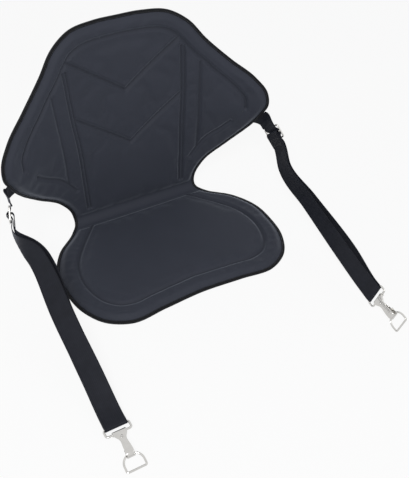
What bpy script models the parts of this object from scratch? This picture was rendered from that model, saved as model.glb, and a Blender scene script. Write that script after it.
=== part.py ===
"""Kayak seat: one folded foam pad with a bound edge and two forward straps.

Metres, +Z up. X is across the seat, the seat points to -Y, the back stands near Y = 0,
and the bound edge rests on Z = 0.
"""
import math

import bmesh
import bpy
from mathutils import Vector, geometry

# Pad outline in the flat pattern: half width x, and v that runs forward (-) and up the back (+)
OUTLINE = [
    (0.000, 0.4205), (0.049, 0.4205), (0.0995, 0.4142), (0.1392, 0.3905), (0.1735, 0.3502), (0.2238, 0.3025),
    (0.2730, 0.2620), (0.2972, 0.2295), (0.3000, 0.2030), (0.2855, 0.1765), (0.2607, 0.1434), (0.2158, 0.1001),
    (0.1660, 0.0613), (0.1456, 0.0280), (0.1435, 0.0020), (0.1573, -0.0211), (0.2030, -0.0682),
    (0.2294, -0.1255), (0.2320, -0.1800), (0.2213, -0.2415), (0.1935, -0.2875), (0.1522, -0.3110),
    (0.0820, -0.3070), (0.0000, -0.3017),
]
BACK_ANGLE = math.radians(87.0)
FOLD_R = 0.027
FOLD_Y = 0.283  # from the footprint's middle, where the origin lies, back to the fold
BACK_R = 0.4808  # radius of the back round the body
BACK_R_FROM = 0.206
BORDER_T = 0.0026
PANEL_T = 0.010
FOLD_T = 0.0042
FOLD_HALF = 0.012
FOLD_RISE = 0.018
SHOULDER_W = 0.013
GRID = 0.026
RIM_STEP = 0.0105
FOLD_STEP = 0.0055
GROOVE_STEP = 0.016
NOTCH = (0.16, 0.035)  # half width and half height of the notch where the outline is closer

# Grooves pressed into the face, half pattern
GROOVE_D = 0.0045
GROOVE_W = 0.005
PAIR = 0.007
BACK_RIM = [
    (0.000, 0.3875), (0.031, 0.387), (0.062, 0.386), (0.087, 0.382), (0.105, 0.374), (0.118, 0.3625),
    (0.131, 0.347), (0.150, 0.325), (0.169, 0.307), (0.191, 0.284), (0.2165, 0.261), (0.2375, 0.239),
    (0.2500, 0.2205), (0.2515, 0.2000),
]
BACK_LOWER = [(0.220, 0.1695), (0.198, 0.153), (0.165, 0.132), (0.147, 0.112), (0.131, 0.090)]
CHEVRON_HALF = 0.117
CHEVRONS = [(0.361, 0.275), (0.247, 0.160)]
INNER_CHANNEL = [(0.121, 0.343), (0.117, 0.244), (0.111, 0.175), (0.107, 0.100), (0.104, 0.034)]
OUTER_CHANNEL = [(0.159, 0.306), (0.1535, 0.212), (0.1465, 0.114)]
SEAT_RIM = [
    (0.112, -0.022), (0.136, -0.052), (0.160, -0.084), (0.178, -0.113), (0.189, -0.146), (0.192, -0.180),
    (0.187, -0.214), (0.174, -0.244), (0.153, -0.264), (0.130, -0.2705), (0.090, -0.267), (0.048, -0.2635),
    (0.000, -0.260),
]

# Bound edge
BIND_T = 0.0008
BIND_W = 0.006
GAP = 0.0003

# Webbing
WEB_W = 0.038
WEB_T = 0.0014
WRAP_GAP = 0.0005
PLY_GAP = 0.0009

# Hardware: wire slider and end ring, strip hook with sprung gate and rivet, D-ring
ROD_R = 0.00175
SLIDER_PLAY = 0.0033
SLIDER_L = 0.028
RING_PLAY = 0.00075
RING_L = 0.014
CORNER_R = 0.004
HOOK_T = 0.0018
HOOK_W = 0.013
SLEEVE_W = 0.023
BOW_U = 0.039
BOW_R = 0.0060
NOSE_U = 0.028
D_WIRE = 0.0017
D_W = 0.0325
D_LEG = 0.010
D_SLACK = 0.0009
GATE_T = 0.0010
GATE_W = 0.009
GATE_PLAY = 0.0008
RIVET_U = 0.0100
RIVET_R = 0.0012
RIVET_HEAD_R = 0.0022
RIVET_HEAD_T = 0.0007

# Webbing tab sewn behind each wing, and its thread
TAB_AT = (0.234, 0.187)
TAB_TILT = math.radians(24.0)
TAB_IN = 0.020
TAB_OUT = 0.058
TAB_GAP = 0.0012
STITCH_W = 0.0010
STITCH_H = 0.0006
TAB_BOX = (0.0090, 0.0105)
END_BOX = (0.0070, 0.0140)
END_BOX_U = 0.0185
TAIL_U = 0.030

# Strap routes: slider place and directions, points on the way, end ring, bow between the two
# layers and where it lies (under 1 near the slider, over 1 near the ring), and D-ring droop
SIDES = {
    "left": {
        "sign": -1.0,
        "slider": (-0.2861, 0.1844, 0.1531),
        "slider_t": (-0.25, -0.62, -0.74), "slider_n": (-0.96, 0.245, 0.118),
        "via": ((-0.2676, 0.0987, 0.1080), (-0.2700, -0.0160, 0.0700), (-0.2685, -0.1361, 0.0330)),
        "turn": (0.0, 0.55, 0.78, 0.90, 1.0),
        "ring": (-0.2681, -0.2249, 0.0105), "ring_t": (0.0, -1.0, 0.0), "ring_w": (1.0, 0.0, 0.0),
        "bow": 0.0065, "bow_at": 0.7, "drop": 11.0,
    },
    "right": {
        "sign": 1.0,
        "slider": (0.2861, 0.1844, 0.1531),
        "slider_t": (0.25, -0.62, -0.74), "slider_n": (0.96, 0.245, 0.118),
        "via": ((0.2768, 0.1230, 0.1040), (0.2711, 0.0230, 0.0840), (0.2677, -0.1070, 0.0510)),
        "turn": (0.0, 0.05, 0.2, 0.6, 1.0),
        "ring": (0.2615, -0.2044, 0.0270), "ring_t": (-0.08, -0.985, -0.09), "ring_w": (0.368, -0.10, 0.917),
        "bow": 0.0060, "bow_at": 2.2, "drop": 3.0,
    },
}

NEAR = ROD_R + WRAP_GAP + WEB_T / 2
PLY = WEB_T + PLY_GAP


def clear_scene():
    """Removes every object of the start-up file."""
    for ob in list(bpy.data.objects):
        bpy.data.objects.remove(ob, do_unlink=True)


def material(name, colour, metallic=0.0, rough=0.8):
    """A plain Principled material."""
    mat = bpy.data.materials.new(name)
    mat.use_nodes = True
    shader = mat.node_tree.nodes["Principled BSDF"]
    shader.inputs["Base Color"].default_value = (*colour, 1.0)
    shader.inputs["Metallic"].default_value = metallic
    shader.inputs["Roughness"].default_value = rough
    return mat


def add_object(name, verts, faces, mat):
    """A mesh object with outward faces."""
    mesh = bpy.data.meshes.new(name)
    mesh.from_pydata([tuple(v) for v in verts], [], faces)
    bm = bmesh.new()
    bm.from_mesh(mesh)
    bmesh.ops.recalc_face_normals(bm, faces=bm.faces)
    bm.to_mesh(mesh)
    bm.free()
    mesh.materials.append(mat)
    ob = bpy.data.objects.new(name, mesh)
    bpy.context.scene.collection.objects.link(ob)
    return ob


def swept_faces(stations, sides, closed):
    """Quads between cross-sections of equal size, with end caps on an open sweep."""
    faces = []
    for i in range(stations if closed else stations - 1):
        a, b = i * sides, (i + 1) % stations * sides
        faces += [(a + j, a + (j + 1) % sides, b + (j + 1) % sides, b + j) for j in range(sides)]
    if not closed:
        faces += [tuple(reversed(range(sides))), tuple((stations - 1) * sides + j for j in range(sides))]
    return faces


def hermite(a, b, ta, tb, t):
    """Cubic between two values with their end slopes."""
    return (a * (2 * t**3 - 3 * t**2 + 1) + ta * (t**3 - 2 * t**2 + t)
            + b * (3 * t**2 - 2 * t**3) + tb * (t**3 - t**2))


def catmull(points, per, closed):
    """Smooth curve through points, with slopes weighted by spacing and per steps between neighbours."""
    pts = [Vector(p) for p in points]
    n = len(pts)
    out = []
    for i in range(n if closed else n - 1):
        a, b = pts[i], pts[(i + 1) % n]
        before = pts[(i - 1) % n] if closed or i > 0 else a + (a - b)
        after = pts[(i + 2) % n] if closed or i < n - 2 else b + (b - a)
        d0, d1, d2 = (a - before).length, (b - a).length, (after - b).length
        ta = ((a - before) / d0 * d1 + (b - a) / d1 * d0) / (d0 + d1) * d1
        tb = ((b - a) / d1 * d2 + (after - b) / d2 * d1) / (d1 + d2) * d1
        out += [hermite(a, b, ta, tb, k / per) for k in range(per)]
    if not closed:
        out.append(pts[-1])
    return out


def resample(points, step, closed):
    """Even steps of about this length along a curve; step may be a function of the point."""
    pts = list(points) + ([points[0]] if closed else [])
    total = [0.0]
    for a, b in zip(pts, pts[1:]):
        total.append(total[-1] + (b - a).length / (step((a + b) / 2) if callable(step) else step))
    count = max(3 if closed else 1, round(total[-1]))
    out, j = [], 0
    for i in range(count + (0 if closed else 1)):
        want = total[-1] * i / count
        while j < len(total) - 2 and total[j + 1] < want:
            j += 1
        f = (want - total[j]) / max(total[j + 1] - total[j], 1e-12)
        out.append(pts[j].lerp(pts[j + 1], min(max(f, 0.0), 1.0)))
    return out


def smooth(t):
    """Smoothstep of 0..1."""
    t = min(max(t, 0.0), 1.0)
    return t * t * (3 - 2 * t)


def base_point(x, v):
    """The pad's under surface: flat seat, round fold, back that curves round the body."""
    k = smooth(v / BACK_R_FROM) / BACK_R + 1e-6
    side = math.sin(k * x) / k
    wrap = (1 - math.cos(k * x)) / k
    arc = FOLD_R * BACK_ANGLE
    t = min(max((v + arc / 2) / arc, 0.0), 1.0) * BACK_ANGLE
    y = FOLD_Y - FOLD_R * math.tan(BACK_ANGLE / 2) + FOLD_R * math.sin(t)
    z = FOLD_R * (1 - math.cos(t))
    rest, front = max(v - arc / 2, 0.0), min(v + arc / 2, 0.0)
    y += front + rest * math.cos(BACK_ANGLE) - wrap * math.sin(BACK_ANGLE)
    z += rest * math.sin(BACK_ANGLE) + wrap * math.cos(BACK_ANGLE)
    return Vector((side, y, z + BIND_T + GAP))


def pad_point(x, v, h):
    """A point h in front of the under surface, with its normal and two directions."""
    e = 1e-4
    p = base_point(x, v)
    dx = (base_point(x + e, v) - base_point(x - e, v)).normalized()
    dv = (base_point(x, v + e) - base_point(x, v - e)).normalized()
    n = dx.cross(dv).normalized()
    return p + n * h, n, dx, dv


def outline_curve():
    """The whole closed outline in the flat pattern, closer at the fold."""
    half = [Vector(p) for p in OUTLINE]
    whole = half + [Vector((-p.x, p.y)) for p in reversed(half[1:-1])]

    def step(p):
        return FOLD_STEP if abs(p.y) < NOTCH[1] and abs(p.x) < NOTCH[0] else RIM_STEP

    return resample(catmull(whole, 12, True), step, True)


def inward(curve):
    """Inward normals of the flat outline."""
    area = sum(a.x * b.y - b.x * a.y for a, b in zip(curve, curve[1:] + curve[:1]))
    turn = 1 if area > 0 else -1
    tangents = [(curve[(i + 1) % len(curve)] - curve[i - 1]).normalized() for i in range(len(curve))]
    return [Vector((-t.y, t.x)) * turn for t in tangents]


def distance_to(line, p, closed=True):
    """Distance from p to a polyline."""
    best = 1e9
    for a, b in zip(line, line[1:] + line[:1] if closed else line[1:]):
        d = b - a
        t = min(max((p - a).dot(d) / d.length_squared, 0.0), 1.0)
        best = min(best, (p - a - d * t).length)
    return best


def inside(curve, p):
    """True when p is inside the closed flat outline."""
    hit = False
    for a, b in zip(curve, curve[1:] + curve[:1]):
        if (a.y > p.y) != (b.y > p.y) and p.x < (b.x - a.x) * (p.y - a.y) / (b.y - a.y) + a.x:
            hit = not hit
    return hit


def grooves():
    """Pressed grooves of both halves: (polyline, offsets of the lines that shape it)."""
    wide, step = (-GROOVE_W, 0.0, GROOVE_W), GROOVE_STEP
    inner_near = [Vector(p) for p in INNER_CHANNEL]
    inner_far = [p + Vector((PAIR, 0.0)) for p in inner_near]
    found = []
    for sign in (-1.0, 1.0):
        def side(points):
            return [Vector((sign * p[0], p[1])) for p in points]

        for points in (BACK_RIM, SEAT_RIM):
            found.append((resample(catmull(side(points), 6, False), step, False), wide))
        for points in (BACK_LOWER, OUTER_CHANNEL):
            found.append((resample(side(points), step, False), wide))
        for end_v, tip_v in CHEVRONS:
            found.append((resample(side([(CHEVRON_HALF, end_v), (0.0, tip_v)]), step, False), wide))
        found.append((resample(side(inner_near), step, False), (sign * GROOVE_W, 0.0, -sign * PAIR / 2)))
        found.append((resample(side(inner_far), step, False), (0.0, -sign * GROOVE_W)))
    ends = [Vector((-SEAT_RIM[0][0], SEAT_RIM[0][1])), Vector(SEAT_RIM[0])]
    found.append((resample(ends, step, False), wide))
    return found


def puff(t):
    """Rounded rise of a stuffed edge over 0..1."""
    return math.sin(math.pi / 2 * min(max(t, 0.0), 1.0))


def thickness(d, p, lines):
    """Foam thickness d inside the outline: thin edge, full face, thin fold, less the grooves."""
    full = BORDER_T + (PANEL_T - BORDER_T) * puff((d - BIND_T - GAP - BIND_W) / SHOULDER_W)
    pressed = max(1 - distance_to(line, p, False) / GROOVE_W for line, _ in lines)
    full -= GROOVE_D * max(pressed, 0.0) * smooth((d - BIND_W) / SHOULDER_W)
    rise = smooth((abs(p.y) - FOLD_HALF) / FOLD_RISE)
    return FOLD_T + (full - FOLD_T) * rise


def groove_points(curve, lines):
    """Points and edges of each groove's middle and sides, kept inside the pad."""
    points, edges = [], []
    for line, offsets in lines:
        last = len(line) - 1
        for off in offsets:
            before = None
            for i, p in enumerate(line):
                t = (line[min(i + 1, last)] - line[max(i - 1, 0)]).normalized()
                q = p + Vector((-t.y, t.x)) * off
                keep = inside(curve, q) and distance_to(curve, q) > BIND_W + 2 * GAP
                if keep:
                    points.append(q)
                    if before is not None:
                        edges.append((before, len(points) - 1))
                before = len(points) - 1 if keep else None
    return points, edges


def grid_points(curve, step, clear, others, apart):
    """A square grid inside the outline, clear of it and of other points."""
    reach = max(abs(c) for p in curve for c in p)
    n = int(reach / step) + 1
    grid = [Vector((i * step, j * step)) for j in range(-n, n + 1) for i in range(-n, n + 1)]
    return [p for p in grid if inside(curve, p) and distance_to(curve, p) > clear
            and all((p - q).length > apart for q in others)]


def build_pad(mat, curve, normals):
    """The moulded pad: one sheet of foam, folded once, with its grooves."""
    edge = BIND_T + GAP
    lines = grooves()
    m = len(curve)
    rim = [p + n * edge for p, n in zip(curve, normals)]
    bound = [p + n * (edge + BIND_W) for p, n in zip(curve, normals)]
    shoulder = [q for q in (p + n * (edge + BIND_W + SHOULDER_W) for p, n in zip(curve, normals))
                if distance_to(curve, q) > 0.94 * (edge + BIND_W + SHOULDER_W)]
    sunk, sunk_edges = groove_points(curve, lines)
    shoulder = [q for q in shoulder[::2] if all((q - p).length > GROOVE_W for p in sunk)]
    fold_rows = [Vector((i * GRID / 2, v)) for i in range(-10, 11)
                 for v in (k * FOLD_HALF for k in (-1.5, -1.0, -0.5, 0.0, 0.5, 1.0, 1.5, 2.2))]
    near = [*bound, *shoulder, *sunk]
    fold_rows = [p for p in fold_rows if distance_to(curve, p) > 1.3 * BIND_W
                 and all((p - q).length > FOLD_STEP for q in near)]
    near += fold_rows
    points = [*rim, *near, *grid_points(curve, GRID, 2 * BIND_W, near, GRID / 2)]
    loops = [(i, (i + 1) % m) for i in range(m)] + [(m + i, m + (i + 1) % m) for i in range(m)]
    first = 2 * m + len(shoulder)
    loops += [(first + a, first + b) for a, b in sunk_edges]
    flat, _, face_up, _, _, _ = geometry.delaunay_2d_cdt(points, loops, [list(range(m))], 1, 1e-6)
    front = [pad_point(p.x, p.y, thickness(distance_to(curve, p), p, lines))[0] for p in flat]

    sparse = [*bound, *[p for p in fold_rows if round(p.x / GRID * 2) % 2 == 0]]
    coarse = [*rim, *sparse, *grid_points(curve, 1.3 * GRID, 2 * BIND_W, sparse, GRID / 2)]
    under, _, face_down, _, _, _ = geometry.delaunay_2d_cdt(coarse, loops[:2 * m], [list(range(m))], 1, 1e-6)
    back = [base_point(p.x, p.y) for p in under]
    n = len(flat)
    faces = [tuple(t) for t in face_up] + [tuple(n + i for i in reversed(t)) for t in face_down]
    faces += [(i, (i + 1) % m, n + (i + 1) % m, n + i) for i in range(m)]
    return add_object("moulded_pad", front + back, faces, mat)


def sheet_solid(name, points, loops, keep, low, high, mat):
    """A thin solid between two mapped surfaces, from a flat triangulation."""
    flat, _, tris, _, _, _ = geometry.delaunay_2d_cdt(points, loops, [], 0, 1e-7)
    kept = [t for t in tris if keep((flat[t[0]] + flat[t[1]] + flat[t[2]]) / 3)]
    used = sorted({i for t in kept for i in t})
    place = {i: k for k, i in enumerate(used)}
    kept = [tuple(place[i] for i in t) for t in kept]
    n = len(used)
    verts = [high(flat[i]) for i in used] + [low(flat[i]) for i in used]
    edges = {(a, b) for t in kept for a, b in zip(t, t[1:] + t[:1])}
    faces = kept + [tuple(n + i for i in reversed(t)) for t in kept]
    faces += [(b, a, n + a, n + b) for a, b in edges if (b, a) not in edges]
    return add_object(name, verts, faces, mat)


def box_x(half_u, half_w):
    """Lines of a stitched box with a cross, as (start, end)."""
    a, b, c, d = (Vector((su * half_u, sw * half_w)) for su, sw in ((-1, -1), (1, -1), (1, 1), (-1, 1)))
    return [(a, b), (b, c), (c, d), (d, a), (a, c), (b, d)]


def stitching(name, lines, low, high, mat):
    """Thread lines joined into one raised pattern."""
    points, loops, runs = [], [], []
    for a, b in lines:
        t = (b - a).normalized() * (STITCH_W / 2)
        n = Vector((-t.y, t.x))
        k = len(points)
        points += [a - t - n, b + t - n, b + t + n, a - t + n]
        loops += [(k + i, k + (i + 1) % 4) for i in range(4)]
        runs.append((a - t, b + t))

    def keep(p):
        for a, b in runs:
            d = b - a
            f = (p - a).dot(d) / d.length_squared
            if 0 <= f <= 1 and (p - a - d * f).length < STITCH_W / 2:
                return True
        return False

    return sheet_solid(name, points, loops, keep, low, high, mat)


def build_stitching(name, s, mat):
    """Box stitches: on the wing's front, and on the strap end folded at the slider."""
    sign = s["sign"]
    along = Vector((sign * math.cos(TAB_TILT), -math.sin(TAB_TILT)))
    across = Vector((sign * math.sin(TAB_TILT), math.cos(TAB_TILT)))
    centre = Vector((sign * TAB_AT[0], TAB_AT[1]))

    def wing(h):
        return lambda p: pad_point(*(centre + along * p.x + across * p.y), PANEL_T + GAP + h)[0]

    stitching(f"{name}_tab_stitching", box_x(*TAB_BOX), wing(0.0), wing(STITCH_H), mat)
    slider, _ = side_frames(s)
    face = -NEAR - 2 * PLY - WEB_T / 2 - GAP

    def tail(h):
        return lambda p: slider.at(END_BOX_U + p.x, face - h, p.y)

    stitching(f"{name}_end_stitching", box_x(*END_BOX), tail(STITCH_H), tail(0.0), mat)


def build_binding(mat, curve, normals):
    """Folded tape round the whole edge, open towards the foam."""
    t, w = BIND_T, BIND_W
    top, low = BORDER_T + GAP, -GAP
    section = [(w, low - t), (t, low - t), (0.0, low), (0.0, top), (t, top + t),
               (w, top + t), (w, top), (t, top), (t, low), (w, low)]
    verts = []
    for p, n in zip(curve, normals):
        for a, h in section:
            q = p + n * a
            thin = 1 - smooth((abs(q.y) - FOLD_HALF) / FOLD_RISE) if h > 0 else 0.0
            verts.append(pad_point(q.x, q.y, h + (FOLD_T - BORDER_T) * thin)[0])
    return add_object("edge_binding", verts, swept_faces(len(curve), len(section), True), mat)


def ribbon(name, path, width, thick, mat):
    """Flat webbing along (point, width direction) stations."""
    verts = []
    pts = [Vector(p) for p, _ in path]
    last = len(pts) - 1
    for i, (p, w) in enumerate(path):
        t = (pts[min(i + 1, last)] - pts[max(i - 1, 0)]).normalized()
        w = (Vector(w) - t * Vector(w).dot(t)).normalized()
        n = w.cross(t).normalized()
        for a, b in ((-1, -1), (1, -1), (1, 1), (-1, 1)):
            verts.append(Vector(p) + w * (a * width / 2) + n * (b * thick / 2))
    return add_object(name, verts, swept_faces(len(pts), 4, False), mat)


def tube(name, points, radius, mat, flat, closed=True, sides=10):
    """Round wire along a plane curve; flat is its plane's normal."""
    pts = [Vector(p) for p in points]
    m = len(pts)
    up = Vector(flat).normalized()
    verts = []
    for i, p in enumerate(pts):
        a = pts[(i - 1) % m] if closed or i else p
        b = pts[(i + 1) % m] if closed or i < m - 1 else p
        s = up.cross((b - a).normalized()).normalized()
        angles = [2 * math.pi * j / sides for j in range(sides)]
        verts += [p + s * (radius * math.cos(f)) + up * (radius * math.sin(f)) for f in angles]
    return add_object(name, verts, swept_faces(m, sides, closed), mat)


def boolean(main, other, how):
    """Boolean of a helper solid with main; the helper stays hidden."""
    other.hide_render = True
    other.display_type = "WIRE"
    mod = main.modifiers.new(other.name, "BOOLEAN")
    mod.operation = how
    mod.solver = "EXACT"
    mod.object = other


class Frame:
    """A place with travel (t), width (w) and outward (n) directions."""

    def __init__(self, origin, t, n=None, w=None):
        self.o = Vector(origin)
        self.t = Vector(t).normalized()
        if n is not None:
            n = Vector(n)
            self.n = (n - self.t * n.dot(self.t)).normalized()
            self.w = self.n.cross(self.t).normalized()
        else:
            w = Vector(w)
            self.w = (w - self.t * w.dot(self.t)).normalized()
            self.n = self.t.cross(self.w).normalized()

    def at(self, u, n=0.0, w=0.0):
        """The point u along, n outward and w across."""
        return self.o + self.t * u + self.n * n + self.w * w


def rounded_box(half_u, half_w, r, steps=4):
    """Points of a rounded rectangle in (u, w)."""
    out = []
    for su, sw, start in ((1, 1, 0), (-1, 1, 90), (-1, -1, 180), (1, -1, 270)):
        for k in range(steps + 1):
            a = math.radians(start + 90 * k / steps)
            out.append((su * (half_u - r) + r * math.cos(a), sw * (half_w - r) + r * math.sin(a)))
    return out


def side_frames(s):
    """Frames of the slider and of the end ring's upper bar."""
    slider = Frame(s["slider"], s["slider_t"], n=s["slider_n"])
    ring = Frame(s["ring"], s["ring_t"], w=s["ring_w"])
    return slider, ring


def tab_path(sign):
    """Webbing sewn flat behind the wing, as points with width directions."""
    out = []
    count = 8
    for i in range(count + 1):
        d = -TAB_IN + (TAB_IN + TAB_OUT) * i / count
        x = sign * (TAB_AT[0] + d * math.cos(TAB_TILT))
        v = TAB_AT[1] - d * math.sin(TAB_TILT)
        step = (BIND_T + GAP) * smooth((d + 0.012) / 0.022)
        p, _, dx, dv = pad_point(x, v, -(TAB_GAP + WEB_T / 2) - step)
        out.append((p, dx * math.sin(TAB_TILT) * sign + dv * math.cos(TAB_TILT)))
    return out


def blend_path(a, b, ta, tb, steps):
    """Smooth joint between two (point, width) stations with end directions."""
    (pa, wa), (pb, wb) = a, b
    length = (pb - pa).length
    return [(hermite(pa, pb, ta * length, tb * length, i / steps),
             wa.lerp(wb, smooth(i / steps)).normalized()) for i in range(1, steps)]


def slider_weave(slider, width):
    """The strap's two passages of the slider: over the centre bar, and the end looped round it."""
    half = SLIDER_L / 2
    exit_u = half + 0.008
    over = [(-half - 0.006, -NEAR), (-half, -NEAR), (-0.0080, -0.4 * NEAR), (-0.0040, NEAR),
            (0.0, NEAR + PLY), (0.0045, NEAR), (0.0085, -0.4 * NEAR), (half, -NEAR), (exit_u, -0.0016)]
    turns = [math.radians(a) for a in (-15, 45, 90, 135, 185)]
    loop = [(exit_u, -0.0054), (half, -NEAR - PLY), (0.0064, -NEAR - 0.5 * PLY)]
    loop += [(NEAR * math.cos(a), NEAR * math.sin(a)) for a in turns]
    loop += [(-0.9 * NEAR, -NEAR - PLY), (0.0005, -NEAR - 2 * PLY + 0.0003), (0.0080, -NEAR - 2 * PLY),
             (0.0180, -NEAR - 2 * PLY), (TAIL_U, -NEAR - 2 * PLY)]
    return tuple([(q, width) for q in catmull([slider.at(u, n) for u, n in path], 3, False)]
                 for path in (over, loop))


def strap_path(s):
    """The whole ribbon: tab, slider, down to the ring, back up, round the slider bar."""
    slider, ring = side_frames(s)
    tab = tab_path(s["sign"])
    w0 = slider.w if slider.w.dot(tab[-1][1]) > 0 else -slider.w
    top, low = slider_weave(slider, w0)
    join = blend_path(tab[-1], top[0], (tab[-1][0] - tab[-2][0]).normalized(), slider.t, 6)
    wr = ring.w if ring.w.dot(w0) > -0.2 else -ring.w
    flip = -1.0 if slider.w.dot(w0) > 0 else 1.0
    wide = [w0.lerp(wr, f).normalized() for f in s["turn"]]
    apart, exit_n, per = 0.0019, -0.0035, 9
    keys = [slider.at(SLIDER_L / 2 - 0.004, exit_n), slider.at(SLIDER_L / 2 + 0.008, exit_n)]
    keys += [*[Vector(p) for p in s["via"]], ring.at(-0.010), ring.at(0.0)]
    run = catmull(keys, per, False)[per:-per]
    side_a, side_b = [], []
    last = len(run) - 1
    for i, p in enumerate(run):
        f = i / last
        t = (run[min(i + 1, last)] - run[max(i - 1, 0)]).normalized()
        k = min(int(f * 4), 3)
        w = wide[k].lerp(wide[k + 1], smooth(f * 4 - k)).normalized()
        w = (w - t * w.dot(t)).normalized()
        n = w.cross(t).normalized() * flip
        sep = apart + (NEAR - apart) * smooth(f) + s["bow"] * math.sin(math.pi * f ** s["bow_at"]) ** 2
        side_a.append((p + n * sep, w))
        side_b.append((p - n * sep, w))
    turns = [math.pi * j / 10 for j in range(11)]
    wrap = [(ring.at(NEAR * math.sin(a), NEAR * math.cos(a)), wr) for a in turns]
    if (wrap[0][0] - side_a[-1][0]).length > (wrap[0][0] - side_b[-1][0]).length:
        wrap.reverse()
    return tab + join + top[:-1] + side_a[1:-1] + wrap + list(reversed(side_b))[1:-1] + low[1:]


def build_side(name, s, mats):
    """Strap, slider, ring, hook, gate, rivet and D-ring of one side."""
    slider, ring = side_frames(s)
    ribbon(f"{name}_strap", strap_path(s), WEB_W, WEB_T, mats["web"])
    build_slider(name, slider, mats["metal"])
    build_ring(name, ring, mats["metal"])
    build_hook(name, Frame(ring.at(RING_L), ring.t, w=ring.w), math.radians(s["drop"]), mats["metal"])
    build_stitching(name, s, mats["thread"])


def build_slider(name, f, mat):
    """Flat wire frame with a centre bar."""
    half = WEB_W / 2 + SLIDER_PLAY + ROD_R
    points = [f.at(u, 0, w) for u, w in rounded_box(SLIDER_L / 2, half, CORNER_R)]
    frame = tube(f"{name}_slider", points, ROD_R, mat, f.n)
    bar = tube(f"{name}_slider_bar", [f.at(0, 0, -half), f.at(0, 0, half)], 0.98 * ROD_R, mat, f.n, False)
    boolean(frame, bar, "UNION")


def build_ring(name, f, mat):
    """Rectangular wire ring; its upper bar sits in the webbing loop."""
    half = WEB_W / 2 + RING_PLAY + ROD_R
    points = [f.at(RING_L / 2 + u, 0, w) for u, w in rounded_box(RING_L / 2, half, CORNER_R)]
    tube(f"{name}_end_ring", points, ROD_R, mat, f.n)


def strip(name, profile, thick, f, mat):
    """Bent metal strip: profile points (u, n, half width)."""
    verts = []
    pts = [Vector(p[:2]) for p in profile]
    last = len(pts) - 1
    for i, p in enumerate(pts):
        t = (pts[min(i + 1, last)] - pts[max(i - 1, 0)]).normalized()
        n = Vector((-t.y, t.x))
        for a, b in ((-1, -1), (1, -1), (1, 1), (-1, 1)):
            q = p + n * (b * thick / 2)
            verts.append(f.at(q.x, q.y, a * profile[i][2]))
    return add_object(name, verts, swept_faces(len(pts), 4, False), mat)


def hook_profile(r, bow_n):
    """The strip's bends: sleeve round the ring, neck, bow and nose."""
    wide, narrow = SLEEVE_W / 2, HOOK_W / 2
    sleeve = [math.radians(-70 - 200 * j / 12) for j in range(13)]
    profile = [(r * math.cos(a), r * math.sin(a), wide) for a in sleeve]
    profile += [(0.004, r, wide), (0.009, r, (wide + narrow) / 2), (0.013, r, narrow), (0.031, r, narrow)]
    bow = [math.radians(90 - 180 * j / 8) for j in range(9)]
    profile += [(BOW_U + BOW_R * math.cos(a), bow_n + BOW_R * math.sin(a), narrow) for a in bow]
    return profile + [(u, bow_n - BOW_R, narrow - 0.001) for u in (NOSE_U + 0.006, NOSE_U)]


def build_hook(name, f, drop, mat):
    """Strip hook folded round the ring's lower bar, with a sprung gate and a D-ring."""
    r = ROD_R + WRAP_GAP + HOOK_T / 2
    bow_n = r - BOW_R
    hook = strip(f"{name}_hook", hook_profile(r, bow_n), HOOK_T, f, mat)
    root = r - HOOK_T / 2 - GATE_PLAY - GATE_T / 2
    tip = bow_n - BOW_R + HOOK_T / 2 + GAP + GATE_T / 2
    bends = [(RIVET_U - 0.0025, root), (RIVET_U + 0.0025, root), (RIVET_U + 0.006, root - 0.0013),
             (NOSE_U, tip + 0.0008), (NOSE_U + 0.004, tip)]
    leaf = strip(f"{name}_gate", [(p.x, p.y, GATE_W / 2) for p in catmull(bends, 3, False)], GATE_T, f, mat)
    top, under = r + HOOK_T / 2, root - GATE_T / 2
    for ob in (hook, leaf):
        ends = [f.at(RIVET_U, under - 0.002), f.at(RIVET_U, top + 0.002)]
        boolean(ob, tube(f"{ob.name}_drill", ends, RIVET_R + GAP, mat, f.t, False, 16), "DIFFERENCE")
    build_rivet(name, f, under - GATE_PLAY, top + GAP, mat)
    hang = f.t * math.cos(drop) - f.n * math.sin(drop)
    build_d_ring(name, Frame(f.at(BOW_U, bow_n), hang, w=f.w), mat)


def build_rivet(name, f, low, high, mat):
    """Rivet through the hook's strip and the root of the gate, with a head at each end."""
    head, edge, sides = RIVET_HEAD_R, 0.8 * RIVET_HEAD_R, 16
    steps = [(low - RIVET_HEAD_T, edge), (low, head), (low, RIVET_R), (high, RIVET_R), (high, head),
             (high + RIVET_HEAD_T, edge)]
    angles = [2 * math.pi * k / sides for k in range(sides)]
    verts = [f.at(RIVET_U + r * math.cos(a), h, r * math.sin(a)) for h, r in steps for a in angles]
    add_object(f"{name}_rivet", verts, swept_faces(len(steps), sides, False), mat)


def build_d_ring(name, f, mat):
    """D-ring whose arc passes through the hook's bow."""
    half = D_W / 2
    arc = [math.radians(180 * j / 16) for j in range(17)]
    leg = D_SLACK + half + D_LEG
    bend = 0.0025
    corner = [(leg - bend, half), (leg - 0.28 * bend, half - 0.28 * bend), (leg, half - bend)]
    shape = [(D_SLACK + half - half * math.sin(a), -half * math.cos(a)) for a in arc]
    shape += corner + [(u, -w) for u, w in reversed(corner)]
    tube(f"{name}_d_ring", [f.at(u, 0, w) for u, w in shape], D_WIRE, mat, f.n)


def main():
    """Builds every sub-part."""
    clear_scene()
    mats = {
        "pad": material("pad_fabric", (0.028, 0.034, 0.048)),
        "bind": material("binding_tape", (0.010, 0.010, 0.012)),
        "web": material("webbing", (0.022, 0.023, 0.027)),
        "thread": material("thread", (0.012, 0.012, 0.015)),
        "metal": material("nickel", (0.75, 0.74, 0.72), 1.0, 0.18),
    }
    curve = outline_curve()
    normals = inward(curve)
    build_pad(mats["pad"], curve, normals)
    build_binding(mats["bind"], curve, normals)
    for name, s in SIDES.items():
        build_side(name, s, mats)


main()
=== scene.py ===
"""Dresses the kayak seat: moulded foam pad, bound edge, doubled webbing straps and nickel snap hooks."""

import logging
import math
from collections.abc import Callable, Sequence
from dataclasses import dataclass
from enum import Enum

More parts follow.
